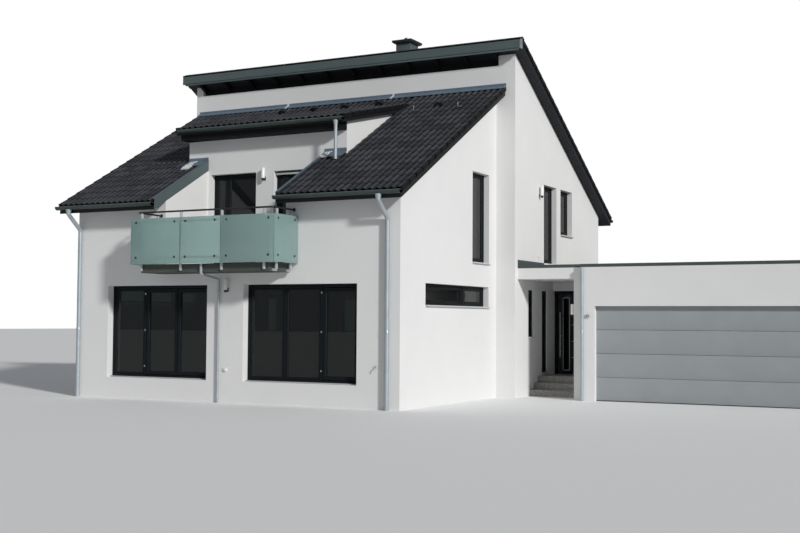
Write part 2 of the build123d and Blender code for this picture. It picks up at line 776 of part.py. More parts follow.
east_frame_x = (east_x - frame_setback - frame_depth, east_x - frame_setback)
west_frame_x = (west_x + frame_setback, west_x + frame_setback + frame_depth)
rear_east_frame_x = (rear_east_x - frame_setback - frame_depth, rear_east_x - frame_setback)
rear_west_frame_x = (rear_west_x + frame_setback, rear_west_x + frame_setback + frame_depth)
porch_frame_x = (rear_east_x - porch_window_setback - frame_depth, rear_east_x - porch_window_setback)
strip_post = strip_y[0] + strip_window_split * (strip_y[1] - strip_y[0])
back_frame_y = (rear_depth - frame_setback - frame_depth, rear_depth - frame_setback)
balcony_frame_y = (dormer_y + frame_setback, dormer_y + frame_setback + frame_depth)
garage_window_z = (garage_window_sill, garage_window_head)
garage_clear_x = (porch_east_x + light_wall, garage_east_x - light_wall)
garage_windows = []
for middle in (garage_clear_x[0] + garage_window_inset, garage_clear_x[1] - garage_window_inset):
    garage_windows.append((middle - garage_window_width / 2, middle + garage_window_width / 2))
annex_frame_y = (rear_depth - frame_setback - frame_depth, rear_depth - frame_setback)
south_north_windows = [(span, height, back_frame_y) for span, height in back_windows]
south_north_windows += [(span, garage_window_z, annex_frame_y) for span in garage_windows]
balcony_lights = []
for span in door_places:
    middle = (span[0] + span[1]) / 2
    balcony_lights += [(span[0], middle), (middle, span[1])]
side_windows = [(tall_y, (tall_window_sill, upper_head), x) for x in (east_frame_x, west_frame_x)]
side_windows += [(span, height, rear_east_frame_x) for span, height in rear_east_windows]
side_windows += [(span, height, porch_frame_x) for span, height in porch_windows]
side_windows += [(span, height, rear_west_frame_x) for span, height in rear_west_windows]

with BuildPart() as window_frames:
    for x in (east_frame_x, west_frame_x):
        side_frame(strip_y, strip_window_height, x, (strip_post,))
    for span, height, x in side_windows:
        side_frame(span, height, x)
    for span, height, y in south_north_windows:
        leaf_of(span, height, y, frame_width)
window_frames.part.label = "window_frames"
export_step(window_frames.part, "parts/window_frames.step")

with BuildPart() as balcony_door_frames:
    for span in door_places:
        block(span, balcony_frame_y, balcony_door_z)
    for span in balcony_lights:
        inner_z = (balcony_door_z[0] + leaf_rail, balcony_door_z[1] - leaf_rail)
        block((span[0] + leaf_rail, span[1] - leaf_rail), balcony_frame_y, inner_z, Mode.SUBTRACT)
balcony_door_frames.part.label = "balcony_door_frames"
export_step(balcony_door_frames.part, "parts/balcony_door_frames.step")

with BuildPart() as fixed_glass:
    for x in (east_frame_x, west_frame_x):
        half = frame_width / 2
        side_pane((strip_y[0], strip_post + half), strip_window_height, x)
        side_pane((strip_post - half, strip_y[1]), strip_window_height, x)
    for span, height, x in side_windows:
        side_pane(span, height, x)
    for span, height, y in south_north_windows:
        front_pane(span, height, y, frame_width)
    for span in balcony_lights:
        front_pane(span, balcony_door_z, balcony_frame_y, leaf_rail)
    for light in (west_lights[0], east_lights[0], east_lights[1]):
        front_pane(light, clear_z, frame_y, 0)
fixed_glass.part.label = "fixed_glass"
export_step(fixed_glass.part, "parts/fixed_glass.step")

with BuildPart() as window_sills:
    for face, windows, out in ((east_x, front_side_windows, 1), (west_x, front_side_windows, -1),
                               (rear_east_x, [rear_window_place, *porch_windows], 1),
                               (rear_west_x, rear_west_windows, -1)):
        for span, height in windows:
            reach = sorted((face, face + out * sill_depth))
            block(reach, span, (height[0] - sill_height, height[0]))
    for span, height in back_windows:
        block(span, (rear_depth, rear_depth + sill_depth), (height[0] - sill_height, height[0]))
window_sills.part.label = "window_sills"
export_step(window_sills.part, "parts/window_sills.step")

# Entrance at the back of the porch: wall, frame, door with a narrow light, and steps

entrance_x = (rear_east_x, rear_east_x + entrance_width)
entrance_z = (floor_level, entrance_head)
entrance_frame_y = (entrance_y[0] + frame_setback, entrance_y[0] + frame_setback + frame_depth)
door_x = (entrance_x[0] + frame_width + leaf_gap, entrance_x[1] - frame_width - leaf_gap)
door_z = (floor_level + leaf_floor_gap, entrance_head - frame_width - leaf_gap)
entrance_door_y = (entrance_frame_y[1] - entrance_thickness, entrance_frame_y[1])
door_light_x = (door_x[0] + entrance_light[0], door_x[0] + entrance_light[1])
door_light_z = (door_z[0] + entrance_light_ends[0], door_z[1] - entrance_light_ends[1])

with BuildPart() as entrance_pier:
    block((entrance_x[1], porch_east_x), entrance_y, entrance_z)
entrance_pier.part.label = "entrance_pier"
export_step(entrance_pier.part, "parts/entrance_pier.step")

with BuildPart() as entrance_lintel:
    block((rear_east_x, porch_east_x), entrance_y, (entrance_head, annex_height))
entrance_lintel.part.label = "entrance_lintel"
export_step(entrance_lintel.part, "parts/entrance_lintel.step")

with BuildPart() as door_frame_uprights:
    for opening, lights in ((terrace_west, (west_lights[0], pair_span)), (terrace_east, east_lights)):
        edges = [opening[0], *[edge for light in lights for edge in light], opening[1]]
        for low, high in zip(edges[0::2], edges[1::2]):
            block((low, high), frame_y, terrace_z)
    block((entrance_x[0], entrance_x[0] + frame_width), entrance_frame_y, entrance_z)
    block((entrance_x[1] - frame_width, entrance_x[1]), entrance_frame_y, entrance_z)
door_frame_uprights.part.label = "door_frame_uprights"
export_step(door_frame_uprights.part, "parts/door_frame_uprights.step")

with BuildPart() as door_frame_rails:
    for light in (west_lights[0], pair_span, *east_lights):
        block(light, frame_y, (terrace_z[0], clear_z[0]))
        block(light, frame_y, (clear_z[1], terrace_z[1]))
    block((entrance_x[0] + frame_width, entrance_x[1] - frame_width), entrance_frame_y,
          (entrance_head - frame_width, entrance_head))
door_frame_rails.part.label = "door_frame_rails"
export_step(door_frame_rails.part, "parts/door_frame_rails.step")

with BuildPart() as hinge_frame_knuckles:
    for name, span, side in leaves:
        knuckles(hinge_axis(span, side), -side, frame_y[1], hinge_heights(leaf_z))
    knuckles(hinge_axis(door_x, -1), 1, entrance_frame_y[1], hinge_heights(door_z))
hinge_frame_knuckles.part.label = "hinge_frame_knuckles"
export_step(hinge_frame_knuckles.part, "parts/hinge_frame_knuckles.step")

with BuildPart() as entrance_door:
    block(door_x, entrance_door_y, door_z)
    block(door_light_x, entrance_door_y, door_light_z, Mode.SUBTRACT)
    knuckles(hinge_axis(door_x, -1), -1, entrance_door_y[1], hinge_heights(door_z, leaf_lift))
entrance_door.part.label = "entrance_door"
export_step(entrance_door.part, "parts/entrance_door.step")

with BuildPart() as entrance_door_glass:
    middle = (entrance_door_y[0] + entrance_door_y[1]) / 2
    block(door_light_x, (middle - pane / 2, middle + pane / 2), door_light_z)
entrance_door_glass.part.label = "entrance_door_glass"
export_step(entrance_door_glass.part, "parts/entrance_door_glass.step")

with BuildPart() as entrance_steps:
    rise = floor_level / step_count
    landing_y = entrance_y[0] - landing_depth
    block((rear_east_x, porch_east_x), (landing_y, annex_back_y[0]), (0, floor_level))
    for index in range(1, step_count):
        tread_front = landing_y - (step_count - index) * step_going
        tread_y = (tread_front, tread_front + step_going)
        block((rear_east_x, porch_east_x), tread_y, (0, index * rise))
entrance_steps.part.label = "entrance_steps"
export_step(entrance_steps.part, "parts/entrance_steps.step")

# Garage walls, door, floor and the flat roof over porch and garage

garage_wall_y = (garage_front_y, garage_front_y + light_wall)
garage_door_x = (garage_open_x, garage_open_x + garage_door_width)

with BuildPart() as garage_front_wall:
    block((garage_west_x, garage_east_x), garage_wall_y, (0, annex_height))
    block(garage_door_x, garage_wall_y, (0, garage_door_height), Mode.SUBTRACT)
garage_front_wall.part.label = "garage_front_wall"
export_step(garage_front_wall.part, "parts/garage_front_wall.step")

with BuildPart() as garage_side_walls:
    west_wall_x = (porch_east_x, porch_east_x + light_wall)
    block((porch_east_x, garage_west_x), (porch_setback, garage_wall_y[1]), (0, annex_height))
    block(west_wall_x, (garage_wall_y[1], annex_back_y[0]), (0, annex_height))
    block((garage_east_x - light_wall, garage_east_x), (garage_wall_y[1], annex_back_y[0]), (0, annex_height))
garage_side_walls.part.label = "garage_side_walls"
export_step(garage_side_walls.part, "parts/garage_side_walls.step")

with BuildPart() as annex_back_wall:
    block((rear_east_x, garage_east_x), annex_back_y, (0, annex_height))
    for span in garage_windows:
        block(span, annex_back_y, garage_window_z, Mode.SUBTRACT)
annex_back_wall.part.label = "annex_back_wall"
export_step(annex_back_wall.part, "parts/annex_back_wall.step")

with BuildPart() as garage_floor_part:
    garage_inside_y = (garage_wall_y[1], annex_back_y[0])
    block((west_wall_x[1], garage_east_x - light_wall), garage_inside_y, (0, garage_floor))
garage_floor_part.part.label = "garage_floor"
export_step(garage_floor_part.part, "parts/garage_floor.step")

with BuildPart() as garage_door:
    section = (garage_door_height - garage_sections * section_gap) / garage_sections
    panel_front = garage_front_y + garage_door_setback
    panel_y = (panel_front, panel_front + garage_door_thickness)
    for index in range(garage_sections):
        bottom = section_gap + index * (section + section_gap)
        block(garage_door_x, panel_y, (bottom, bottom + section))
garage_door.part.label = "garage_door"
export_step(garage_door.part, "parts/garage_door.step")

with BuildPart() as flat_roof_part:
    deck_z = (annex_height, flat_roof_top)
    block((rear_east_x, garage_west_x), (porch_setback, rear_depth), deck_z)
    block((garage_west_x, garage_east_x), (garage_front_y, rear_depth), deck_z)
flat_roof_part.part.label = "flat_roof"
export_step(flat_roof_part.part, "parts/flat_roof.step")

with BuildPart() as roof_edge_trim:
    trim_z = (flat_roof_top, trim_top)
    block((rear_east_x, garage_west_x), (porch_setback, rear_depth), trim_z)
    block((garage_west_x, garage_east_x), (garage_front_y, rear_depth), trim_z)
    block((rear_east_x, garage_west_x + trim_width), (porch_setback + trim_width, rear_depth - trim_width),
          trim_z, Mode.SUBTRACT)
    block((garage_west_x + trim_width, garage_east_x - trim_width),
          (garage_front_y + trim_width, rear_depth - trim_width), trim_z, Mode.SUBTRACT)
roof_edge_trim.part.label = "roof_edge_trim"
export_step(roof_edge_trim.part, "parts/roof_edge_trim.step")

# Wall lamps: a short arm from the wall and an upright cylinder

with BuildPart() as wall_lamps:
    south_lamps = [(bay_centre, dormer_y, upper_head - loggia_lamp_drop)]
    south_lamps.append((bay_centre + terrace_lamp[0], front_y, ground_head - terrace_lamp[1]))
    for x, y, z in south_lamps:
        arm_x, arm_z = (x - lamp_arm / 2, x + lamp_arm / 2), (z - lamp_arm / 2, z + lamp_arm / 2)
        block(arm_x, (y - lamp_radius, y), arm_z)
        with Locations((x, y - lamp_radius - lamp_arm, z)):
            Cylinder(lamp_radius, lamp_length)
    lamp_y = roof_door[0] - roof_lamp[0]
    lamp_z = upper_head - roof_lamp[1]
    block((rear_east_x, rear_east_x + lamp_radius), (lamp_y - lamp_arm / 2, lamp_y + lamp_arm / 2),
          (lamp_z - lamp_arm / 2, lamp_z + lamp_arm / 2))
    with Locations((rear_east_x + lamp_radius + lamp_arm, lamp_y, lamp_z)):
        Cylinder(lamp_radius, lamp_length)
    lamp_y = porch_setback + porch_lamp[0]
    lamp_z = ground_head - porch_lamp[1]
    block((porch_east_x - lamp_radius, porch_east_x), (lamp_y - lamp_arm / 2, lamp_y + lamp_arm / 2),
          (lamp_z - lamp_arm / 2, lamp_z + lamp_arm / 2))
    with Locations((porch_east_x - lamp_radius - lamp_arm, lamp_y, lamp_z)):
        Cylinder(lamp_radius, lamp_length)
wall_lamps.part.label = "wall_lamps"
export_step(wall_lamps.part, "parts/wall_lamps.step")
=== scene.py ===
import bpy
import bmesh
import math
from mathutils import Matrix, Vector


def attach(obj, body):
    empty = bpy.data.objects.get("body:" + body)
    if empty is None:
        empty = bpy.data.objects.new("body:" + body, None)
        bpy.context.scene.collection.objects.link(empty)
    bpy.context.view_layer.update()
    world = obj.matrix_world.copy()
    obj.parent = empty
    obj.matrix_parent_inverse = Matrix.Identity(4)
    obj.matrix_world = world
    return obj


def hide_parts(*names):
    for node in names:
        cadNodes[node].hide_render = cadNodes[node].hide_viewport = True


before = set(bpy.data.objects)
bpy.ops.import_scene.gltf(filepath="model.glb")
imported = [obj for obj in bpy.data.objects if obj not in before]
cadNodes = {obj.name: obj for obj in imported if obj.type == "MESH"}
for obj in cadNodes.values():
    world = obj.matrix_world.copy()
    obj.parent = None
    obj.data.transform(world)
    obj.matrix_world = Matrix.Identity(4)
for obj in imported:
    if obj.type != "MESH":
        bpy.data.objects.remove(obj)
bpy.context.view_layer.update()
print("frame loaded:", len(cadNodes), "nodes")


def linear(hexColour):
    # sRGB hex to the linear values that a shader takes, by the standard's own curve
    channels = [int(hexColour[i:i + 2], 16) / 255 for i in (1, 3, 5)]
    return [c / 12.92 if c <= 0.04045 else ((c + 0.055) / 1.055) ** 2.4 for c in channels] + [1.0]


def addNode(tree, kind, settings=None, links=None):
    # A setting is a property of the node where it has one of that name, otherwise an input's value
    node = tree.nodes.new(kind)
    for key, value in (settings or {}).items():
        if isinstance(key, str) and hasattr(node, key):
            setattr(node, key, value)
        else:
            node.inputs[key].default_value = value
    for key, socket in (links or {}).items():
        tree.links.new(socket, node.inputs[key])
    return node


def newMaterial(name, colour, roughness, metallic=0.0, **sockets):
    material = bpy.data.materials.new(name)
    material.use_nodes = True
    tree = material.node_tree
    shader = tree.nodes["Principled BSDF"]
    shader.inputs["Base Color"].default_value = linear(colour)
    shader.inputs["Roughness"].default_value = roughness
    shader.inputs["Metallic"].default_value = metallic
    for key, value in sockets.items():
        shader.inputs[key.replace("_", " ")].default_value = value
    return material, tree, shader, addNode(tree, "ShaderNodeTexCoord").outputs["Object"]


def toneBetween(tree, shader, factor, darkColour, lightColour):
    # Base colour between two tones, led by a pattern
    tones = {"data_type": "RGBA", 6: linear(darkColour), 7: linear(lightColour)}
    mix = addNode(tree, "ShaderNodeMix", tones, {0: factor})
    tree.links.new(mix.outputs[2], shader.inputs["Base Color"])


def bumpFrom(tree, shader, height, strength, distance):
    bump = addNode(tree, "ShaderNodeBump", {"Strength": strength, "Distance": distance}, {"Height": height})
    tree.links.new(bump.outputs["Normal"], shader.inputs["Normal"])


def roughnessFrom(tree, shader, factor, low, high):
    spread = addNode(tree, "ShaderNodeMapRange", {"To Min": low, "To Max": high}, {"Value": factor})
    tree.links.new(spread.outputs["Result"], shader.inputs["Roughness"])


def perMetre(millimetres):
    # A pattern's scale for features of that size
    return 1000.0 / millimetres


def addNoise(tree, place, millimetres, detail, rough=0.5, distortion=0.0):
    settings = {"Scale": perMetre(millimetres), "Detail": detail, "Roughness": rough, "Distortion": distortion}
    return addNode(tree, "ShaderNodeTexNoise", settings, {"Vector": place}).outputs[0]


def patterned(name, colour, roughness, pattern, tones=None, bump=None, shine=None, grain=None, stretch=None,
              **sockets):
    # One noise leads tone and shine, and the relief too unless that has a grain of its own
    material, tree, shader, place = newMaterial(name, colour, roughness, **sockets)
    if stretch:
        place = addNode(tree, "ShaderNodeMapping", {"Scale": stretch}, {"Vector": place}).outputs[0]
    noise = addNoise(tree, place, *pattern)
    if tones:
        toneBetween(tree, shader, noise, *tones)
    if shine:
        roughnessFrom(tree, shader, noise, *shine)
    if bump:
        bumpFrom(tree, shader, addNoise(tree, place, *grain) if grain else noise, *bump)
    return material


def zincSheet(name, dark, light, metallic, low, high):
    # Rolled zinc sheet after some years: cloudy patina, dull shine that changes from patch to patch
    return patterned(name, light, high, (260, 6.0, 0.6), (dark, light), (0.08, 0.003), (low, high),
                     metallic=metallic)


def coatedSheet(name, dark, light, roughness, gloss=0.35):
    # Coil-coated sheet metal: even satin colour with a trace of oil-canning
    return patterned(name, light, roughness, (420, 3.0), (dark, light), (0.06, 0.004), Specular_IOR_Level=gloss)


def castConcrete(name, dark, light):
    # Fair-faced concrete: grey, blotchy, with small pores
    return patterned(name, light, 0.85, (600, 7.0, 0.6), (dark, light), (0.2, 0.002), grain=(16, 2.0))


def stones(name, colour, roughness, millimetres, channel, tones, bump):
    # Cells that each have a tone of their own
    material, tree, shader, place = newMaterial(name, colour, roughness)
    cells = addNode(tree, "ShaderNodeTexVoronoi", {"Scale": perMetre(millimetres)}, {"Vector": place})
    tint = addNode(tree, "ShaderNodeSeparateColor", {}, {"Color": cells.outputs["Color"]})
    toneBetween(tree, shader, tint.outputs[channel], *tones)
    bumpFrom(tree, shader, cells.outputs["Distance"], *bump)
    return material


def roofTileClay():
    # Engobed clay pantiles: satin anthracite, each tile a touch lighter or darker, and painted shade darkens the
    # troughs between the rolls
    material, tree, shader, place = newMaterial("engobedClayTile", "#3C3D42", 0.55, Specular_IOR_Level=0.2)
    tone = addNode(tree, "ShaderNodeAttribute", {"attribute_name": "tileTone"})
    dust = addNoise(tree, place, 90, 6.0, 0.65)
    both = addNode(tree, "ShaderNodeMath", {"operation": "MULTIPLY_ADD", 1: 0.6}, {0: tone.outputs["Fac"], 2: dust})
    # Painted shade: the tone falls towards the troughs, where the rolls' shade lies, and is fullest on the crests
    rollShare = addNode(tree, "ShaderNodeAttribute", {"attribute_name": "rollShare"})
    heights = {"From Min": 0.1, "From Max": 0.8, "To Min": 0.1, "To Max": 1.0}
    height = addNode(tree, "ShaderNodeMapRange", heights, {"Value": rollShare.outputs["Fac"]})
    troughShadeTone = addNode(tree, "ShaderNodeMath", {"operation": "MULTIPLY"},
                     {0: both.outputs[0], 1: height.outputs["Result"]})
    toneBetween(tree, shader, troughShadeTone.outputs[0], "#0F1013", "#46474C")
    roughnessFrom(tree, shader, dust, 0.45, 0.66)
    bumpFrom(tree, shader, addNoise(tree, place, 9, 3.0), 0.18, 0.002)
    return material


def oakFloor():
    # Oiled oak boards 140 mm wide inside the rooms
    material, tree, shader, place = newMaterial("oiledOakFloor", "#6F5238", 0.5)
    laying = {"Scale": 1.0, "Brick Width": 1.6, "Row Height": 0.14, "Mortar Size": 0.002,
              "Color1": linear("#70543A"), "Color2": linear("#5F462F"), "Mortar": linear("#2E2218")}
    boards = addNode(tree, "ShaderNodeTexBrick", laying, {"Vector": place})
    tree.links.new(boards.outputs["Color"], shader.inputs["Base Color"])
    return material


materials = {
    # Mineral render, felted and painted: matt, faintly cloudy where it dried unevenly, and rough to the touch.
    # The 2 mm grain is drawn at 22 mm, the size that shows from the driveway.
    "wall": patterned("paintedMineralRender", "#E7E7E6", 0.92, (1700, 5.0, 0.6), ("#DADADA", "#E7E7E6"),
                      (0.35, 0.004), grain=(22, 4.0, 0.7), Specular_IOR_Level=0.25),
    "tile": roofTileClay(),
    # Painted reflection: the flashing zinc's blue tint stands for the sky reflected in it
    "zinc": zincSheet("flashingZincTintedForSkyReflection", "#5E7180", "#7D90A0", 0.45, 0.38, 0.6),
    # Painted shade: the gutters' zinc is darkened as if in shade, though gutters and downpipes are one zinc
    "gutterZinc": zincSheet("gutterZincDarkenedForShade", "#36423F", "#4B5855", 0.3, 0.45, 0.65),
    # Painted light: the downpipes' zinc is lightened as if in sun; the gutter clips, outlets and the ridge sheet's
    # end share it
    "pipeZinc": zincSheet("pipeZincLightenedForSunlight", "#98A3A9", "#B9C2C7", 0.4, 0.34, 0.52),
    # Painted highlight: the gutters' rolled bead is lighter zinc, standing for the light its edge catches
    "beadZinc": zincSheet("gutterBeadZincLightenedForHighlight", "#66766F", "#85958E", 0.3, 0.4, 0.55),
    # Soft lead dressed over tiles by hand: pale oxide bloom, shallow dents
    "lead": patterned("dressedLead", "#DADDDD", 0.55, (45, 4.0), ("#C3C8C9", "#ECEEED"), (0.5, 0.012), metallic=0.2),
    # PVC window profile under anthracite foil: satin, with a fine embossed grain; its 0.4 mm is drawn at 6 mm
    "foil": patterned("anthraciteFoil", "#191D20", 0.45, (6, 3.0), ("#121618", "#1F2427"), (0.12, 0.001),
                      Specular_IOR_Level=0.08),
    # Sealed units with a grey-green tint, made dark as painted shade of the rooms seen through them
    "glass": patterned("doubleGlazingTintedForShadedRooms", "#4A5553", 0.0, (900, 1.0), None, (0.05, 0.004),
                       Transmission_Weight=1.0, IOR=1.5),
    # Laminated safety glass with a frosted interlayer: pale sea-green, soft through-light, satin front
    "frosted": patterned("frostedBalconyGlass", "#A6C5C1", 0.2, (700, 3.0), ("#A2C2BE", "#B0CECA"),
                         Transmission_Weight=0.55, IOR=1.5, Coat_Weight=0.3, Coat_Roughness=0.06),
    # Planed spruce under a dark grey stain, darkened further to near black as painted shade under the eaves: grain
    # lines along the board, matt
    "timber": patterned("stainedSpruceDarkenedForEaveShade", "#161617", 0.7, (60, 6.0, 0.5, 0.6), ("#101112", "#1F2022"), (0.2, 0.002),
                        stretch=(0.6, 6.0, 6.0), Specular_IOR_Level=0.1),
    "cladding": coatedSheet("greyGreenFasciaSheet", "#4C5859", "#596566", 0.5),
    "slateSheet": coatedSheet("slateVergeSheet", "#1E2025", "#2A2C32", 0.55, 0.2),
    "darkSheet": coatedSheet("anthraciteSheet", "#131517", "#1C1F21", 0.5),
    "trimSheet": coatedSheet("roofTrimSheet", "#3F4847", "#4C5655", 0.45),
    "garageSheet": coatedSheet("lightGreyDoorSheet", "#92979A", "#9CA1A4", 0.5),
    "sillSheet": coatedSheet("powderCoatedSill", "#B8BABB", "#C9CBCC", 0.4),
    "doorSheet": coatedSheet("anthraciteDoorSheet", "#202326", "#2A2D30", 0.4),
    "railPaint": coatedSheet("powderCoatedRail", "#1F2123", "#2A2D2F", 0.4),
    "postSheet": coatedSheet("anodisedPost", "#A9B0B0", "#BFC5C4", 0.36),
    # Painted shade: the balcony slab's concrete is darkened for the shade cast by the glass panels above it
    "slabEdge": castConcrete("slabConcreteDarkenedForShade", "#353B38", "#565B54"),
    "whitePlastic": coatedSheet("whiteFittings", "#DDDDDB", "#EAEAE8", 0.4),
    # Flamed granite: grey with dark mica and pale feldspar specks of about 4 mm, drawn at 14 mm
    "granite": stones("flamedGranite", "#8B8A88", 0.8, 14, 0, ("#6E6D6B", "#A6A4A1"), (0.25, 0.003)),
    # Washed 16 to 32 mm gravel on the flat roof: each stone another grey
    "gravel": stones("roofGravel", "#8F8B84", 0.9, 34, 1, ("#6C6863", "#B3AEA6"), (0.9, 0.02)),
    "concrete": castConcrete("fairFacedConcrete", "#8B8985", "#BAB8B3"),
    "oak": oakFloor(),
    # Stainless steel, satin ground: bright, soft streaks
    "steel": patterned("satinStainless", "#C4C6C8", 0.28, (8, 3.0), shine=(0.2, 0.4), stretch=(1.0, 1.0, 0.05),
                       metallic=1.0),
    # Opal glass of the wall lamps: white, softly glossy
    "opal": patterned("opalGlass", "#F2F1EC", 0.2, (120, 2.0), ("#EAE9E4", "#F6F5F1"), Coat_Weight=0.3),
}
print("materials:", len(materials))


def addBlock(bm, low, high, rounding=0.0, slotIndex=0):
    # A box with softened edges between two corners
    low, high = Vector(low), Vector(high)
    made = bmesh.ops.create_cube(bm, size=1.0)["verts"]
    size, middle = high - low, (low + high) / 2
    for vert in made:
        vert.co = Vector([vert.co[i] * size[i] + middle[i] for i in range(3)])
    for face in {f for v in made for f in v.link_faces}:
        face.material_index = slotIndex
    if rounding > 0:
        edges = list({e for v in made for e in v.link_edges})
        bmesh.ops.bevel(bm, geom=edges, offset=min(rounding, min(size) * 0.4), segments=2, profile=0.5,
                        affect="EDGES")


def skin(bm, a, b, slotIndex=0):
    # Faces between two rings with the same number of corners
    count = len(a)
    for k in range(count):
        after = (k + 1) % count
        bm.faces.new((a[k], a[after], b[after], b[k])).material_index = slotIndex


def skinClosed(bm, rings, slotIndex):
    for a, b in zip(rings, rings[1:]):
        skin(bm, a, b, slotIndex)
    bm.faces.new(rings[0][::-1]).material_index = slotIndex
    bm.faces.new(rings[-1]).material_index = slotIndex


def addRing(bm, place, rect, profile, slotIndex=0):
    # A mitred frame: the closed profile of (inward, depth) points swept round rect (u0, u1, v0, v1)
    u0, u1, v0, v1 = rect
    rings = [[bm.verts.new(place(u + du * inward, v + dv * inward, depth)) for inward, depth in profile]
             for u, v, du, dv in ((u0, v0, 1, 1), (u1, v0, -1, 1), (u1, v1, -1, -1), (u0, v1, 1, -1))]
    for i in range(4):
        skin(bm, rings[i], rings[(i + 1) % 4], slotIndex)


def addPlate(bm, place, rect, depths, rounding=0.0, slotIndex=0):
    # A flat plate in a wall's own directions
    u0, u1, v0, v1 = rect
    corners = [place(u, v, w) for u in (u0, u1) for v in (v0, v1) for w in depths]
    low = [min(c[i] for c in corners) for i in range(3)]
    high = [max(c[i] for c in corners) for i in range(3)]
    addBlock(bm, low, high, rounding, slotIndex)


def addTube(bm, path, radius, sides=16, slotIndex=0):
    # A round bar or pipe along points, with closed ends and bends that keep its width
    points = [Vector(p) for p in path]
    rings, side = [], None
    for i, point in enumerate(points):
        before = (point - points[i - 1]).normalized() if i else (points[1] - point).normalized()
        after = (points[i + 1] - point).normalized() if i < len(points) - 1 else before
        along = (before + after).normalized()
        if side is None:
            side = along.orthogonal().normalized()
        side = (side - along * side.dot(along)).normalized()
        other = along.cross(side)
        stretch = 1.0 / max(0.5, along.dot(before))
        lean = (before.cross(after)).normalized() if before.cross(after).length > 1e-6 else None
        ring = []
        for k in range(sides):
            angle = 2 * math.pi * k / sides
            offset = side * math.cos(angle) + other * math.sin(angle)
            if lean is not None:
                across = along.cross(lean)
                offset += across * offset.dot(across) * (stretch - 1)
            ring.append(bm.verts.new(point + offset * radius))
        rings.append(ring)
    skinClosed(bm, rings, slotIndex)


def addLathe(bm, centre, profile, axis="Z", sides=32, slotIndex=0):
    # A turned piece: profile of (radius, height) from one closed end to the other
    turn = {"Z": Matrix.Identity(3), "Y": Matrix.Rotation(math.pi / 2, 3, "X"),
            "X": Matrix.Rotation(math.pi / 2, 3, "Y")}[axis]
    angles = [2 * math.pi * k / sides for k in range(sides)]
    rings = [[bm.verts.new(Vector(centre) + turn @ Vector((radius * math.cos(a), radius * math.sin(a), height)))
              for a in angles] for radius, height in profile]
    skinClosed(bm, rings, slotIndex)


def addPrism(bm, outline, x0, x1, slotIndex=0):
    # An outline in Y and Z drawn from x0 to x1
    skinClosed(bm, [[bm.verts.new((x, y, z)) for y, z in outline] for x in (x0, x1)], slotIndex)


def meshFrom(name, bm, sharpAngle):
    bmesh.ops.recalc_face_normals(bm, faces=bm.faces)
    mesh = bpy.data.meshes.new(name)
    bm.to_mesh(mesh)
    bm.free()
    mesh.shade_smooth()
    mesh.set_sharp_from_angle(angle=math.radians(sharpAngle))
    return mesh


def finishPiece(name, bm, used, body="house", replaced=(), sharpAngle=35.0):
    # Turns the mesh into a piece that rides on its body
    mesh = meshFrom(name, bm, sharpAngle)
    for key in used:
        mesh.materials.append(materials[key])
    piece = bpy.data.objects.new(name, mesh)
    bpy.context.scene.collection.objects.link(piece)
    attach(piece, body)
    if replaced:
        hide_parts(*replaced)


# A wall's place: u along it, v up, w inwards from the face at y or x
def southWall(y):
    return lambda u, v, w: Vector((u, y + w, v))


def northWall(y):
    return lambda u, v, w: Vector((u, y - w, v))


def eastWall(x):
    return lambda u, v, w: Vector((x - w, u, v))


def westWall(x):
    return lambda u, v, w: Vector((x + w, u, v))


# The house's own lines, in metres and degrees
frontPitch, rearPitch, dormerPitch = 29.1, 28.75, 13.4
frontUnderside, highRise, frontEdge, rearEdge, dormerEdge = 4.7, 0.8, 0.235, 0.248, 0.19
frontY, eaveY, meetingY, ridgeY, backY, rearBackY = -5.13, -5.55, -0.62, -0.16, 6.5, 6.94
dormerEaveY, dormerY = -3.86, -3.49
westX, eastX, rearWestX, rearEastX, verge, dormerVerge = -4.5, 4.5, -4.89, 5.01, 0.27, 0.15
dormerWest, loggiaWest, loggiaEast, dormerEast = -2.4, -1.8, 1.6, 2.2
groundHead, upperHead, floorLevel, upperFloor = 2.7, 5.51, 0.5, 3.17
westVerge, eastVerge = westX - verge, eastX + verge
dormerX = (dormerWest - dormerVerge, dormerEast + dormerVerge)
rearX = (rearWestX - verge, rearEastX + verge)
frontSlope, rearSlope, dormerSlope = [math.tan(math.radians(p)) for p in (frontPitch, rearPitch, dormerPitch)]


def frontUnder(y):
    return frontUnderside + (y - frontY) * frontSlope


def frontTop(y):
    return frontUnder(y) + frontEdge


def rearUnder(y):
    return frontTop(0) + highRise - y * rearSlope


def rearTop(y):
    return rearUnder(y) + rearEdge


def dormerTop(y):
    return frontTop(meetingY) + (y - meetingY) * dormerSlope


def dormerUnder(y):
    return dormerTop(y) - dormerEdge


def slopeBand(y0, y1, below, above, lower=0.0, upper=0.0):
    # The outline between two sloping lines, each moved up by its own amount
    return [(y0, below(y0) + lower), (y1, below(y1) + lower), (y1, above(y1) + upper), (y0, above(y0) + upper)]


# CAD nodes that keep their own shape
dressing = {
    "wall": "front_wall_piers front_wall_lintel front_wall_upper gable_walls step_walls clerestory_wall "
            "rear_east_piers rear_east_wall rear_west_wall back_wall loggia_cheeks dormer_wall dormer_cheeks "
            "entrance_pier entrance_lintel garage_front_wall garage_side_walls annex_back_wall flat_roof "
            "ground_floor upper_floor",
    "gutterZinc": "gutters", "pipeZinc": "downpipes", "trimSheet": "roof_edge_trim", "granite": "entrance_steps",
    "concrete": "garage_floor", "slabEdge": "balcony_slab", "timber": "high_eave_timbers dormer_eave_box",
    "darkSheet": "hinge_frame_knuckles", "cladding": "high_fascia", "sillSheet": "window_sills",
}
for key, nodeNames in dressing.items():
    for nodeName in nodeNames.split():
        mesh = cadNodes[nodeName].data
        mesh.materials.clear()
        mesh.materials.append(materials[key])
print("CAD nodes dressed")

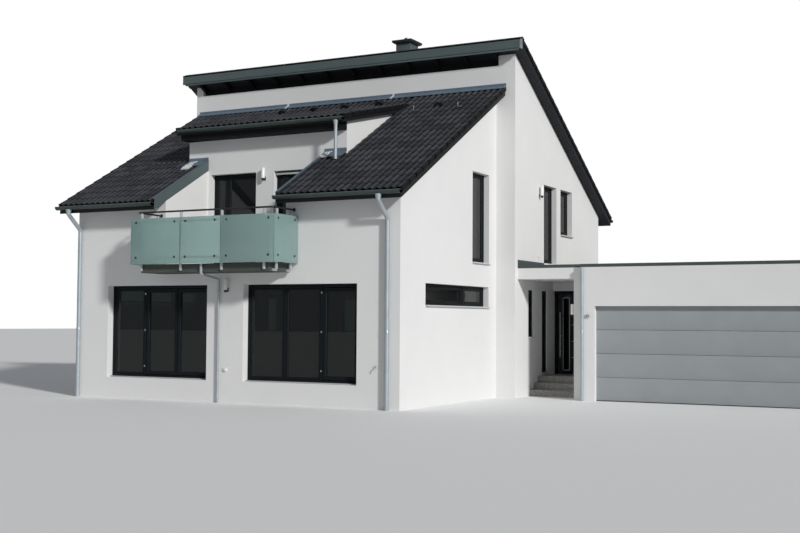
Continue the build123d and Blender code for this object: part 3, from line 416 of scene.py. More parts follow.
# Roof tiles: width holds two rolls; the foot lies on the course below, so it stands up by lift
tile = {"width": 0.345, "rolls": 2, "steps": 7, "length": 0.40, "course": 0.345, "rollHeight": 0.052,
        "thickness": 0.009, "lift": 0.017, "above": 0.02, "flapWidth": 0.03, "flapDrop": 0.085, "flapUnder": 0.004,
        "deckDrop": 0.085, "sharpAngle": 50, "sideColumns": 14, "sideStep": 0.3407}
tileDrop, inset = tile["rollHeight"] + tile["thickness"] + tile["lift"] - tile["above"], tile["flapWidth"]


def shapeObject(name, bm):
    # A shape for the courses below, removed again once the roofs are laid
    piece = bpy.data.objects.new(name, meshFrom(name, bm, tile["sharpAngle"]))
    bpy.context.scene.collection.objects.link(piece)
    return piece


def pantile():
    # One double pantile, lying flat: rolls along the length, with a thick edge at its foot
    bm = bmesh.new()
    share = bm.verts.layers.float.new("rollShare")
    columns = tile["rolls"] * tile["steps"]
    rows = []
    for raised in (tile["thickness"], 0.0):
        for end in (0.0, tile["length"]):
            row = []
            for i in range(columns + 1):
                phase = 2 * math.pi * tile["rolls"] * i / columns
                roll = tile["rollHeight"] * (0.5 - 0.5 * math.cos(phase))
                z = roll + raised + tile["lift"] * (1 - end / tile["length"])
                row.append(bm.verts.new((tile["width"] * i / columns, end, z)))
                row[-1][share] = roll / tile["rollHeight"]
            rows.append(row)
    for a, b in ((rows[0], rows[1]), (rows[3], rows[2]), (rows[2], rows[0]), (rows[1], rows[3])):
        for i in range(columns):
            bm.faces.new((a[i], a[i + 1], b[i + 1], b[i]))
    for i in (0, columns):
        bm.faces.new((rows[0][i], rows[1][i], rows[3][i], rows[2][i]))
    return shapeObject("pantile", bm)


def vergeFlap():
    # The upright flap of a verge tile, stepped by the same lift as the tiles
    bm = bmesh.new()
    top, foot = tileDrop + tile["above"] - tile["flapUnder"], tileDrop - tile["flapDrop"]
    length, lift = tile["length"], tile["lift"]
    addPrism(bm, [(0.0, top), (length, top - lift), (length, foot - lift), (0.0, foot)], 0.0, tile["flapWidth"])
    return shapeObject("vergeFlap", bm)


def gridTree():
    # Lays an object in columns and rows, and gives each copy its own tone
    tree = bpy.data.node_groups.new("layInCourses", "GeometryNodeTree")
    sockets = {}
    for label, kind, default in (("Columns", "Int", 4), ("Rows", "Int", 4), ("Column Step", "Float", 0.3),
                                 ("Row Step", "Float", 0.3), ("Seed", "Int", 7), ("Shape", "Object", None),
                                 ("Material", "Material", None)):
        socket = tree.interface.new_socket(name=label, in_out="INPUT", socket_type="NodeSocket" + kind)
        if default is not None:
            socket.default_value = default
        sockets[label] = socket.identifier
    tree.interface.new_socket(name="Geometry", in_out="OUTPUT", socket_type="NodeSocketGeometry")
    source = addNode(tree, "NodeGroupInput").outputs
    shape = addNode(tree, "GeometryNodeObjectInfo", {"transform_space": "ORIGINAL"}, {"Object": source["Shape"]})
    field = shape.outputs["Geometry"]
    for count, step, axis in (("Columns", "Column Step", "X"), ("Rows", "Row Step", "Y")):
        less = addNode(tree, "ShaderNodeMath", {"operation": "SUBTRACT", 1: 1.0}, {0: source[count]})
        length = addNode(tree, "ShaderNodeMath", {"operation": "MULTIPLY"}, {0: less.outputs[0], 1: source[step]})
        end = addNode(tree, "ShaderNodeCombineXYZ", {}, {axis: length.outputs[0]})
        line = addNode(tree, "GeometryNodeMeshLine", {"mode": "END_POINTS"},
                       {"Count": source[count], "Offset": end.outputs[0]})
        field = addNode(tree, "GeometryNodeInstanceOnPoints", {},
                        {"Points": line.outputs[0], "Instance": field}).outputs[0]
    courses = addNode(tree, "GeometryNodeRealizeInstances", {"Realize All": False, "Depth": 1}, {"Geometry": field})
    tone = addNode(tree, "FunctionNodeRandomValue", {"data_type": "FLOAT"}, {"Seed": source["Seed"]})
    marked = addNode(tree, "GeometryNodeStoreNamedAttribute",
                     {"data_type": "FLOAT", "domain": "INSTANCE", "Name": "tileTone"},
                     {"Geometry": courses.outputs[0], "Value": tone.outputs[1]})
    solid = addNode(tree, "GeometryNodeRealizeInstances", {}, {"Geometry": marked.outputs[0]})
    dressed = addNode(tree, "GeometryNodeSetMaterial", {},
                      {"Geometry": solid.outputs[0], "Material": source["Material"]})
    addNode(tree, "NodeGroupOutput", {}, {"Geometry": dressed.outputs[0]})
    return tree, sockets


courseTree, courseSockets = gridTree()


def layField(shape, columns, rows, columnStep, rowStep, place, seed):
    # Runs the tree on an empty carrier and returns a plain mesh in its place
    carrier = bpy.data.objects.new("carrier", bpy.data.meshes.new("carrier"))
    bpy.context.scene.collection.objects.link(carrier)
    modifier = carrier.modifiers.new("courses", "NODES")
    modifier.node_group = courseTree
    for label, value in (("Columns", columns), ("Rows", rows), ("Column Step", columnStep), ("Row Step", rowStep),
                         ("Seed", seed), ("Shape", shape), ("Material", materials["tile"])):
        modifier[courseSockets[label]] = value
    evaluated = carrier.evaluated_get(bpy.context.evaluated_depsgraph_get())
    mesh = bpy.data.meshes.new_from_object(evaluated)
    mesh.transform(place)
    bpy.data.objects.remove(carrier)
    return mesh


def cutMesh(bm, point, away):
    # Cuts off what lies beyond a plane and closes the cut tiles
    whole = bm.verts[:] + bm.edges[:] + bm.faces[:]
    cut = bmesh.ops.bisect_plane(bm, geom=whole, plane_co=point, plane_no=away, clear_outer=True)["geom_cut"]
    bmesh.ops.holes_fill(bm, edges=[part for part in cut if isinstance(part, bmesh.types.BMEdge)], sides=0)


def slopeSettings(x0, x1, y0, y1, pitch, top):
    # A slope's lattice: whole columns from edge to edge, and courses that end at its upper edge
    rise = math.cos(math.radians(pitch))
    columns = round((x1 - x0) / tile["width"])
    upSlope = (y1 - y0) / rise - tile["length"]
    rows = 1 + max(1, round(upSlope / tile["course"]))
    return {"x": x0, "y": y0, "top": top, "pitch": pitch, "rise": rise, "rows": rows,
            "columnStep": (x1 - x0) / columns, "rowStep": upSlope / (rows - 1)}


def layTiles(bm, slope, span, seed, flaps=()):
    # Tiles on one rectangle of a slope, cut at the edges that its lattice doesn't meet, with flaps at its verges.
    # The small shares and lengths here are slack, so that an edge that just meets isn't cut.
    x0, x1, y0, y1 = span
    step, rowStep, rise = slope["columnStep"], slope["rowStep"], slope["rise"]
    first, last = math.floor((x0 - slope["x"]) / step + 0.01), math.ceil((x1 - slope["x"]) / step - 0.01)
    rows = min(slope["rows"], math.ceil((y1 - y0 - 0.03) / (rowStep * rise)))
    turn = Matrix.Rotation(math.radians(slope["pitch"]), 4, "X")
    foot = slope["top"](y0) - tileDrop / rise
    wide = Matrix.Diagonal((step / tile["width"], 1, 1, 1))
    place = Matrix.Translation((slope["x"] + first * step, y0, foot)) @ turn @ wide
    part = bmesh.new()
    part.from_mesh(layField(tileShape, last - first, rows, tile["width"], rowStep, place, seed))
    for beyond, point, away in (
            (slope["x"] + first * step < x0 - 0.001, (x0, 0, 0), (-1, 0, 0)),
            (slope["x"] + last * step > x1 + 0.001, (x1, 0, 0), (1, 0, 0)),
            (y0 + ((rows - 1) * rowStep + tile["length"]) * rise > y1 + 0.002, (0, y1, 0), (0, 1, 0))):
        if beyond:
            cutMesh(part, point, away)
    for flapX in flaps:
        place = Matrix.Translation((flapX, y0, foot)) @ turn
        part.from_mesh(layField(flapShape, 1, rows, 1.0, rowStep, place, seed))
    # The tree's result numbers its material from an empty first slot
    for face in part.faces:
        face.material_index = 0
    joined = bpy.data.meshes.new("tiledPart")
    part.to_mesh(joined)
    part.free()
    bm.from_mesh(joined)
    bpy.data.meshes.remove(joined)


def roofDeck(bm, under, top, x0, x1, y0, y1):
    # The boarding and its edge boards under the tiles, as one closed slab
    addPrism(bm, slopeBand(y0, y1, under, top, 0.0, -tile["deckDrop"]), x0, x1, 1)


vent = {"width": 0.115, "height": 0.085, "lift": 0.005, "sides": 12,
        "hood": ((0.0, 1.0), (0.012, 0.98), (0.16, 0.72), (0.27, 0.12)),
        "onDormer": (-1.638, -0.616, 0.353, 1.391), "dormerRow": -0.5, "onFront": (3.33, -0.96)}
hook = {"radius": 0.011, "places": ((2.87, -1.16), (4.08, -1.16)),
        "path": ((0.0, 0.012), (-0.13, 0.05), (-0.2, 0.06), (-0.225, 0.10), (-0.23, 0.21))}


def addVent(bm, x, y):
    # A vent tile's hood, its mouth closed by an anthracite face as painted shade, on the slope at that point
    place = Matrix.Translation((x, y, frontTop(y) + vent["lift"])) @ Matrix.Rotation(math.radians(frontPitch), 4, "X")
    angles = [math.pi * k / vent["sides"] for k in range(vent["sides"] + 1)]
    rings = [[bm.verts.new(place @ Vector((vent["width"] * share * math.cos(a), along,
                                           vent["height"] * share * math.sin(a)))) for a in angles]
             for along, share in vent["hood"]]
    for a, b in zip(rings, rings[1:]):
        skin(bm, a, b)
    # Painted shade: the mouth is a flat anthracite face standing for the dark inside of the hood
    bm.faces.new(rings[0]).material_index = 2
    bm.faces.new(rings[-1][::-1])


def addHook(bm, x, y):
    # A roof hook: a bar that comes out between two courses, lies down the slope and turns up
    addTube(bm, [(x, y + along, frontTop(y + along) + above) for along, above in hook["path"]], hook["radius"], 10, 3)


def finishRoof(name, bm, node, deckKey="darkSheet"):
    finishPiece(name, bm, ["tile", deckKey, "darkSheet", "steel"], replaced=(node,),
                sharpAngle=tile["sharpAngle"])


tileShape, flapShape = pantile(), vergeFlap()
sideWidth = tile["sideColumns"] * tile["sideStep"]

grid = slopeSettings(westVerge, westVerge + sideWidth, eaveY, 0.0, frontPitch, frontTop)
bm = bmesh.new()
layTiles(bm, grid, (westVerge, dormerWest, eaveY, 0.0), 11, (westVerge,))
layTiles(bm, grid, (dormerWest, loggiaWest, eaveY, dormerY), 12)
roofDeck(bm, frontUnder, frontTop, westVerge + inset, dormerWest, eaveY, 0.0)
roofDeck(bm, frontUnder, frontTop, dormerWest, loggiaWest, eaveY, dormerY)
finishRoof("frontRoofWestTiles", bm, "front_roof_west")

grid = slopeSettings(eastVerge - sideWidth, eastVerge, eaveY, 0.0, frontPitch, frontTop)
bm = bmesh.new()
layTiles(bm, grid, (dormerEast, eastVerge, eaveY, 0.0), 23, (eastVerge - inset,))
layTiles(bm, grid, (loggiaEast, dormerEast, eaveY, dormerY), 24)
roofDeck(bm, frontUnder, frontTop, dormerEast, eastVerge - inset, eaveY, 0.0)
roofDeck(bm, frontUnder, frontTop, loggiaEast, dormerEast, eaveY, dormerY)
addVent(bm, *vent["onFront"])
for hookPlace in hook["places"]:
    addHook(bm, *hookPlace)
finishRoof("frontRoofEastTiles", bm, "front_roof_east")

# The dormer's tiles, and above their upper edge the front slope's courses, which start a little lower
grid = slopeSettings(*dormerX, dormerEaveY, meetingY, dormerPitch, dormerTop)
upperGrid = slopeSettings(*dormerX, meetingY - 0.05, 0.0, frontPitch, frontTop)
bm = bmesh.new()
layTiles(bm, grid, (*dormerX, dormerEaveY, meetingY), 31, (dormerX[0], dormerX[1] - inset))
layTiles(bm, upperGrid, (dormerWest, dormerEast, upperGrid["y"], 0.0), 37)
roofDeck(bm, dormerUnder, dormerTop, dormerX[0] + inset, dormerX[1] - inset, dormerEaveY, meetingY)
roofDeck(bm, frontUnder, frontTop, dormerWest, dormerEast, meetingY, 0.0)
for ventX in vent["onDormer"]:
    addVent(bm, ventX, vent["dormerRow"])
finishRoof("dormerRoofTiles", bm, "dormer_roof")


def mirroredTop(y):
    # The rear slope seen from the north, so that its courses rise along +Y like the others
    return rearTop(-y)


mirrored = (-rearX[1], -rearX[0], -rearBackY, -ridgeY)
bm = bmesh.new()
layTiles(bm, slopeSettings(*mirrored, rearPitch, mirroredTop), mirrored, 41, (mirrored[0], mirrored[1] - inset))
bmesh.ops.rotate(bm, verts=bm.verts, cent=(0, 0, 0), matrix=Matrix.Rotation(math.pi, 3, "Z"))
roofDeck(bm, rearUnder, rearTop, rearX[0] + inset, rearX[1] - inset, ridgeY, rearBackY)
finishRoof("rearRoofTiles", bm, "rear_roof", "slateSheet")
for helper in (tileShape, flapShape):
    bpy.data.objects.remove(helper)
print("roofs tiled")

# Sheet over the ridge edge, cover strips on the fascia's joints, its east end, drip edge, and an anthracite soffit
# sheet that paints the shade under the overhang
ridge = {"front": -0.32, "fold": -0.165, "back": -0.055, "low": 8.868, "high": 8.902,
         "over": (0.034, 0.036, 0.026, 0.024), "inner": ((-0.318, 8.896), (-0.314, 8.868)), "joints": (-1.68, 1.8),
         "stripHalf": 0.012, "stripY": (-0.3215, -0.318), "stripZ": (8.646, 8.89),
         "endWidth": 0.02, "endY": (-0.322, -0.2), "endZ": (8.646, 8.87),
         "dripIn": (0.09, 0.05), "dripY": (-0.32, -0.306), "dripZ": (8.602, 8.66),
         "soffitIn": 0.01, "soffit": (-0.288, -0.002), "soffitSheet": 0.006}
bm = bmesh.new()
front, fold, back = ridge["front"], ridge["fold"], ridge["back"]
overTiles = [(y, rearTop(y) + over) for y, over in zip((fold, back, back, fold), ridge["over"])]
addPrism(bm, [(front, ridge["low"]), (front, ridge["high"]), *overTiles, *ridge["inner"]], *rearX)
strips = [(x - ridge["stripHalf"], x + ridge["stripHalf"], "strip", 0.0, 1) for x in ridge["joints"]]
for x0, x1, part, rounding, slotIndex in (
        *strips, (rearX[1] - ridge["endWidth"], rearX[1], "end", 0.001, 2),
        (rearX[0] + ridge["dripIn"][0], rearX[1] - ridge["dripIn"][1], "drip", 0.001, 1)):
    (y0, y1), (z0, z1) = ridge[part + "Y"], ridge[part + "Z"]
    addBlock(bm, (x0, y0, z0), (x1, y1, z1), rounding, slotIndex)
# Painted shade: the soffit is a near-black anthracite sheet standing for the shade under the overhang
addPrism(bm, slopeBand(*ridge["soffit"], rearUnder, rearUnder, -ridge["soffitSheet"]),
         rearX[0] + ridge["soffitIn"], rearX[1] - ridge["soffitIn"])
finishPiece("ridgeSheet", bm, ["darkSheet", "cladding", "pipeZinc"])

# Flashings: a folded band over the tiles' heads, trays at the dormer's foot, capped roof cuts and lead corners
flashing = {"band": 0.082, "apron": 0.15, "thickness": 0.012, "over": 0.024, "trayReach": 0.26, "trayUp": 0.1,
            "joints": (-1.737, 1.561), "jointHalf": 0.03, "jointProud": 0.004, "capLip": 0.07, "capSheet": 0.003,
            "porchY": (0.18, 2.0), "porchTop": 3.435, "porchFolds": ((3.30, 0.012), (3.425, 0.02)),
            "leads": ((-2.22, -3.72, 0.22, 0.40), (1.72, -3.63, 0.2, 0.27)),
            "leadDent": 0.026, "leadAbove": 0.04, "leadSheet": 0.03}


def apronOutline(y, top, up, reach, grow=0.0):
    # Up the wall at y, then down the slope over the tiles
    over, sheet = flashing["over"], flashing["thickness"] + grow
    foot = y - reach - grow
    head, tray = top(y) + up + grow, top(y - reach) + over
    return [(y, head), (y - sheet, head - 0.002), (y - sheet, top(y - sheet) + over + sheet),
            (foot, tray + sheet * 0.8), (foot, tray - 0.01), (y, top(y) + over - 0.01)]


bm = bmesh.new()
addPrism(bm, apronOutline(0.0, frontTop, flashing["band"], flashing["apron"]), westVerge, eastVerge)
for x0, x1 in ((dormerWest, loggiaWest), (loggiaEast, dormerEast)):
    addPrism(bm, apronOutline(dormerY, frontTop, flashing["trayUp"], flashing["trayReach"]), x0, x1)
for x0, outwards in ((loggiaWest, -1), (loggiaEast, 1)):
    # The cut roof edge beside the loggia, capped from its underside to a lip over the tiles
    sheetX, lipX = x0 - outwards * flashing["capSheet"], x0 + outwards * flashing["capLip"]
    addPrism(bm, slopeBand(eaveY, dormerY, frontUnder, frontTop, 0.0, 0.03), *sorted((x0, sheetX)), 2)
    addPrism(bm, slopeBand(eaveY, dormerY, frontTop, frontTop, 0.024, 0.032), *sorted((sheetX, lipX)))
for low, out in flashing["porchFolds"]:
    addBlock(bm, (rearEastX, flashing["porchY"][0], low),
             (rearEastX + out, flashing["porchY"][1], flashing["porchTop"]), 0.002, 3)
for jointX in flashing["joints"]:
    proud = flashing["jointProud"]
    addPrism(bm, apronOutline(0.0, frontTop, flashing["band"] + proud, flashing["apron"], proud),
             jointX - flashing["jointHalf"], jointX + flashing["jointHalf"], 1)


def crumpledLead(bm, x, y, width, length):
    # A corner dressed over the tiles by hand, closed underneath
    across, along = 10, 8
    wide = across + 1
    layers = []
    for under in (0.0, -flashing["leadSheet"]):
        layer = []
        for j in range(along + 1):
            for i in range(wide):
                px, py = x + width * (i / across - 0.5), y + length * (j / along - 0.5)
                wave = math.sin(3.1 * i + 1.7 * j) * math.sin(1.3 * i - 2.3 * j)
                dent = flashing["leadDent"] * wave if min(i, across - i, j, along - j) else -0.006
                layer.append(bm.verts.new((px, py, frontTop(py) + flashing["leadAbove"] + (under or dent))))
        layers.append(layer)
    for layer in layers:
        for j in range(along):
            for a in range(j * wide, j * wide + across):
                bm.faces.new((layer[a], layer[a + 1], layer[a + wide + 1], layer[a + wide])).material_index = 1
    rim = [*range(wide), *[j * wide + across for j in range(1, along + 1)],
           *[along * wide + i for i in range(across - 1, -1, -1)], *[j * wide for j in range(along - 1, 0, -1)]]
    skin(bm, [layers[0][i] for i in rim], [layers[1][i] for i in rim], 1)


for lead in flashing["leads"]:
    crumpledLead(bm, *lead)
finishPiece("foldedFlashings", bm, ["zinc", "lead", "cladding", "trimSheet"], replaced=("flashings",),
            sharpAngle=28.0)

# Gutter beads, spring clips, end caps and outlets, and the downpipes' bands and sockets
gutter = {"radius": 0.076, "bead": 0.009, "clipStep": 0.64, "clipHalf": 0.012, "rimDrop": 0.08, "cap": 0.004,
          "outletDrop": 0.2, "outlet": ((0.001, 0.0), (0.004, 0.004), (0.004, 0.04), (0.022, 0.125), (0.022, 0.135))}
pipe, smallPipe, southPipes, northPipeX, dormerPipeX, socketZ = 0.05, 0.04, (4.23, -4.385), -4.59, 2.16, 1.62
# Each downpipe's place, its radius, the heights of its bands and the way to its wall
downpipes = [*[(x, -5.21, pipe, (0.06, 0.95, 2.35, 3.55), 1) for x in southPipes],
             (northPipeX, 6.58, pipe, (0.06, 1.2, 2.6), -1), (6.735, 0.03, smallPipe, (0.06, 0.75, 1.9, 2.9), 1)]
frontRim, dormerRim, rearRim = [edge - gutter["rimDrop"] for edge in
                                (frontTop(eaveY), dormerTop(dormerEaveY), rearTop(rearBackY))]
runs = [(westVerge, loggiaWest, eaveY, frontRim, -1), (loggiaEast, eastVerge, eaveY, frontRim, -1),
        (dormerWest, dormerX[1], dormerEaveY, dormerRim, -1), (*rearX, rearBackY, rearRim, 1)]
radius = gutter["radius"]
bm = bmesh.new()
for x0, x1, edgeY, rim, out in runs:
    centreY = edgeY + out * radius
    beadY = centreY + out * (radius - gutter["bead"])
    addTube(bm, [(x0, beadY, rim), (x1, beadY, rim)], gutter["bead"], 10, 2)
    clips = round((x1 - x0) / gutter["clipStep"])
    for index in range(clips + 1):
        clipX = x0 + 0.03 + (x1 - x0 - 0.06) * index / clips
        addBlock(bm, (clipX - gutter["clipHalf"], centreY - radius + 0.002, rim + 0.006),
                 (clipX + gutter["clipHalf"], centreY + radius - 0.002, rim + 0.011), 0.001, 1)
    for capX, side in ((x0, 1), (x1, -1)):
        angles = [math.radians(a) for a in range(180, 361, 15)]
        outline = [(centreY + (radius - 0.001) * math.cos(a), rim + (radius - 0.001) * math.sin(a)) for a in angles]
        addPrism(bm, outline, *sorted((capX, capX + side * gutter["cap"])))
for x, y, rim, wide in (*[(x, eaveY - radius, frontRim, pipe) for x in southPipes],
                        (dormerPipeX, dormerEaveY - radius, dormerRim, smallPipe),
                        (northPipeX, rearBackY + radius, rearRim, pipe)):
    addLathe(bm, (x, y, rim - gutter["outletDrop"]), [(wide + grow, height) for grow, height in gutter["outlet"]],
             sides=24, slotIndex=1)


def pipeBand(bm, x, y, z, wide, low, high, top, sides=24, slotIndex=1):
    # A clamp or a socket round a pipe
    addLathe(bm, (x, y, z), [(wide + 0.0005, 0.0), (wide + 0.004, low), (wide + 0.004, high), (wide + 0.0005, top)],
             sides=sides, slotIndex=slotIndex)


for x, y, wide, heights, wallSide in downpipes:
    nearY, farY = sorted((y, y + wallSide * (wide + 0.03)))
    for z in heights:
        pipeBand(bm, x, y, z, wide, 0.002, 0.028, 0.03)
        addBlock(bm, (x - 0.008, nearY, z + 0.006), (x + 0.008, farY, z + 0.024), 0.0, 1)
    pipeBand(bm, x, y, socketZ, wide, 0.003, 0.07, 0.075)
finishPiece("gutterFittings", bm, ["gutterZinc", "pipeZinc", "beadZinc"])

# Chimney: the stack in folded sheet with upright seams, a stone-grey cap and a small hood
chimney = {"x": 1.38, "y": 1.1, "size": (0.42, 0.5), "top": rearUnder(0) + 0.84, "cap": 0.08, "over": 0.085,
           "seams": (-0.07, 0.07), "seamHalf": 0.004, "foldHalf": 0.008, "foldLow": rearTop(1.4) - 0.1}
bm = bmesh.new()
middleX, middleY, top = chimney["x"], chimney["y"], chimney["top"]
halfX, halfY = chimney["size"][0] / 2, chimney["size"][1] / 2


def chimneyBlock(grow, low, high, rounding, slotIndex=0):
    # A block round the stack's middle, wider than the stack by grow on every side
    addBlock(bm, (middleX - halfX - grow, middleY - halfY - grow, low),
             (middleX + halfX + grow, middleY + halfY + grow, high), rounding, slotIndex)


chimneyBlock(-0.006, upperFloor, top, 0.004)
fold = chimney["foldHalf"]
for signX in (-1, 1):
    for signY in (-1, 1):
        cornerX, cornerY = middleX + signX * (halfX - fold), middleY + signY * (halfY - fold)
        addBlock(bm, (cornerX - fold, cornerY - fold, chimney["foldLow"]),
                 (cornerX + fold, cornerY + fold, top), 0.002)
for seam in chimney["seams"]:
    addBlock(bm, (middleX + seam - chimney["seamHalf"], middleY - halfY, chimney["foldLow"]),
             (middleX + seam + chimney["seamHalf"], middleY + halfY, top), 0.0)
chimneyBlock(chimney["over"], top + 0.02, top + chimney["cap"], 0.006, 1)
chimneyBlock(chimney["over"] - 0.03, top, top + 0.022, 0.002, 1)
addLathe(bm, (middleX, middleY, top + chimney["cap"]),
         [(0.07, 0.0), (0.07, 0.07), (0.085, 0.075), (0.085, 0.09), (0.05, 0.108), (0.01, 0.11)], slotIndex=2)
finishPiece("cladChimney", bm, ["cladding", "darkSheet", "steel"], replaced=("chimney",))
print("metalwork built")

# Windows: an outer frame, posts and a sash with a glazing bead in each light
joinery = {"depth": 0.08, "frame": 0.05, "sashStart": 0.053, "sash": 0.062, "sashBack": 0.012, "sashDepth": 0.074,
           "pane": (0.034, 0.058), "postHalf": 0.025, "recess": 0.14, "terraceRecess": 0.195, "porchRecess": 0.03}
depth, recess = joinery["depth"], joinery["recess"]


def glazedLight(bm, place, rect, sash=joinery["sash"], start=joinery["sashStart"]):
    u0, u1, v0, v1 = rect
    end, back, deep = start + sash, joinery["sashBack"], joinery["sashDepth"]
    addRing(bm, place, rect, [(start, back + 0.004), (start + 0.004, back), (end - 0.014, back), (end, back + 0.016),
                              (end, deep), (start, deep)])
    rebate = end - 0.006
    addPlate(bm, place, (u0 + rebate, u1 - rebate, v0 + rebate, v1 - rebate), joinery["pane"], 0.0, 1)


def outerFrame(bm, place, rect):
    width = joinery["frame"]
    addRing(bm, place, rect, [(0.0, 0.0), (width - 0.003, 0.0), (width, 0.003), (width, depth), (0.0, depth)])


def windowUnit(bm, place, rect, splits=()):
    outerFrame(bm, place, rect)
    half = joinery["postHalf"]
    edges = [rect[0], *splits, rect[1]]
    for u0, u1 in zip(edges, edges[1:]):
        left = u0 if u0 == rect[0] else u0 - half
        right = u1 if u1 == rect[1] else u1 + half
        glazedLight(bm, place, (left, right, rect[2], rect[3]))
    for u in splits:
        addPlate(bm, place, (u - half, u + half, rect[2] + joinery["frame"], rect[3] - joinery["frame"]),
                 (0.0, depth), 0.003)


# Each window as (from, to, sill, head) along its wall
leafFront = frontY + joinery["terraceRecess"]
leafBack = leafFront + depth
terraceFace, loggiaBack, backFace = southWall(leafFront), southWall(dormerY + recess), northWall(backY - recess)
stripY, roomSpan, backSill = (frontY + 1.2, frontY + 4.67), (3.26, 4.19), 1.45
sideWindows = {
    eastWall(rearEastX - recess): ((2.0, 2.95, 3.44, upperHead), (*roomSpan, 4.27, upperHead)),
    eastWall(rearEastX - joinery["porchRecess"]): ((0.905, 1.22, 1.51, groundHead), (1.855, 2.225, 0.58, groundHead)),
    westWall(rearWestX + recess): ((*roomSpan, 4.27, upperHead), (*roomSpan, backSill, groundHead)),
}
bm = bmesh.new()
for wall in (eastWall(eastX - recess), westWall(westX + recess)):
    windowUnit(bm, wall, (-1.43, -0.44, 3.32, upperHead))
    windowUnit(bm, wall, (*stripY, 2.25, 2.735), (stripY[0] + 0.655 * (stripY[1] - stripY[0]),))
for wall, rects in sideWindows.items():
    for rect in rects:
        windowUnit(bm, wall, rect)
backWindows = {"from": -4.53, "span": 9.18, "count": 3, "half": 0.7, "headDrop": 0.25, "high": 0.85,
               "annex": (8.44, 10.74), "annexHalf": 0.5, "annexZ": (1.5, 2.15)}
backHead, half = rearUnder(backY) - backWindows["headDrop"], backWindows["half"]
for index in range(backWindows["count"]):
    middle = backWindows["from"] + backWindows["span"] / backWindows["count"] * (index + 0.5)
    for low, high in ((backSill, groundHead), (backHead - backWindows["high"], backHead)):
        windowUnit(bm, backFace, (middle - half, middle + half, low, high), (middle,))
for middle in backWindows["annex"]:
    half = backWindows["annexHalf"]
    windowUnit(bm, backFace, (middle - half, middle + half, *backWindows["annexZ"]))
finishPiece("casementWindows", bm, ["foil", "glass"], replaced=("window_frames",))

# Balcony doors, with a narrow west leaf and a wide east one
balconyDoor = {"middles": (-1.035, 0.835), "west": -0.675, "east": 0.675, "split": -0.266, "high": 5.5,
               "sash": 0.085, "overlap": 0.046, "rail": ((0.19, 0.06, 5.405), (1.48, 0.082, 5.46))}
bm = bmesh.new()
for middle in balconyDoor["middles"]:
    west, east, split = [middle + balconyDoor[key] for key in ("west", "east", "split")]
    outerFrame(bm, loggiaBack, (west, east, upperFloor, balconyDoor["high"]))
    for u0, u1 in ((west, split + balconyDoor["overlap"]), (split - balconyDoor["overlap"], east)):
        glazedLight(bm, loggiaBack, (u0, u1, upperFloor, balconyDoor["high"]), sash=balconyDoor["sash"])
# End rail of the raised shutter at the head of the east door
addBlock(bm, *[(x, dormerY + y, z) for x, y, z in balconyDoor["rail"]], 0.004, 2)
finishPiece("balconyDoors", bm, ["foil", "glass", "sillSheet"], replaced=("balcony_door_frames",))

# Terrace openings: fixed lights stay with the house, leaves ride on their own bodies
terrace = {"west": (-3.53, -0.55), "east": (0.47, 3.45), "frame": 0.07, "post": 0.06, "sash": 0.055, "start": 0.002,
           "rounding": 0.003, "capsZ": (0.78, 1.64, 2.51)}
lightWidth = (terrace["west"][1] - terrace["west"][0] - 2 * terrace["frame"] - 2 * terrace["post"]) / 3


def lightsOf(opening):
    starts = [opening[0] + terrace["frame"] + i * (lightWidth + terrace["post"]) for i in range(3)]
    return [(start, start + lightWidth) for start in starts]


def framePlate(place, u0, u1, low, high):
    addPlate(bm, place, (u0, u1, low, high), (0.0, depth), terrace["rounding"])


westLights, eastLights = lightsOf(terrace["west"]), lightsOf(terrace["east"])
clearLow, clearHigh = floorLevel + terrace["frame"], groundHead - terrace["frame"]
bm = bmesh.new()
for opening, lights in ((terrace["west"], [westLights[0], (westLights[1][0], westLights[2][1])]),
                        (terrace["east"], eastLights)):
    edges = [opening[0], *[edge for light in lights for edge in light], opening[1]]
    for u0, u1 in zip(edges[0::2], edges[1::2]):
        framePlate(terraceFace, u0, u1, floorLevel, groundHead)
    for u0, u1 in lights:
        framePlate(terraceFace, u0, u1, floorLevel, clearLow)
        framePlate(terraceFace, u0, u1, clearHigh, groundHead)
for u0, u1 in (westLights[0], eastLights[0], eastLights[1]):
    glazedLight(bm, terraceFace, (u0, u1, clearLow, clearHigh), terrace["sash"], terrace["start"])
entrance = {"x": (5.01, 6.21), "y": 2.81, "high": 2.72, "frame": 0.07}
west, east = entrance["x"][0] + entrance["frame"], entrance["x"][1] - entrance["frame"]
entranceFace = southWall(entrance["y"])
for u0, u1, low in ((entrance["x"][0], west, floorLevel), (east, entrance["x"][1], floorLevel),
                    (west, east, entrance["high"] - entrance["frame"])):
    framePlate(entranceFace, u0, u1, low, entrance["high"])
for capX in ((westLights[0][1] + westLights[1][0]) / 2, (eastLights[1][1] + eastLights[2][0]) / 2):
    for capZ in terrace["capsZ"]:
        addBlock(bm, (capX - 0.02, leafFront - 0.01, capZ - 0.024), (capX + 0.02, leafFront + 0.002, capZ + 0.024),
                 0.004, 2)
for opening in (terrace["west"], terrace["east"]):
    addBlock(bm, (opening[0] + 0.002, leafFront - 0.075, floorLevel - 0.001),
             (opening[1] - 0.002, leafFront, floorLevel + 0.026), 0.004, 3)
finishPiece("doorFramesAndFixedLights", bm, ["foil", "glass", "steel", "sillSheet"],
            replaced=("door_frame_uprights", "door_frame_rails", "fixed_glass"))

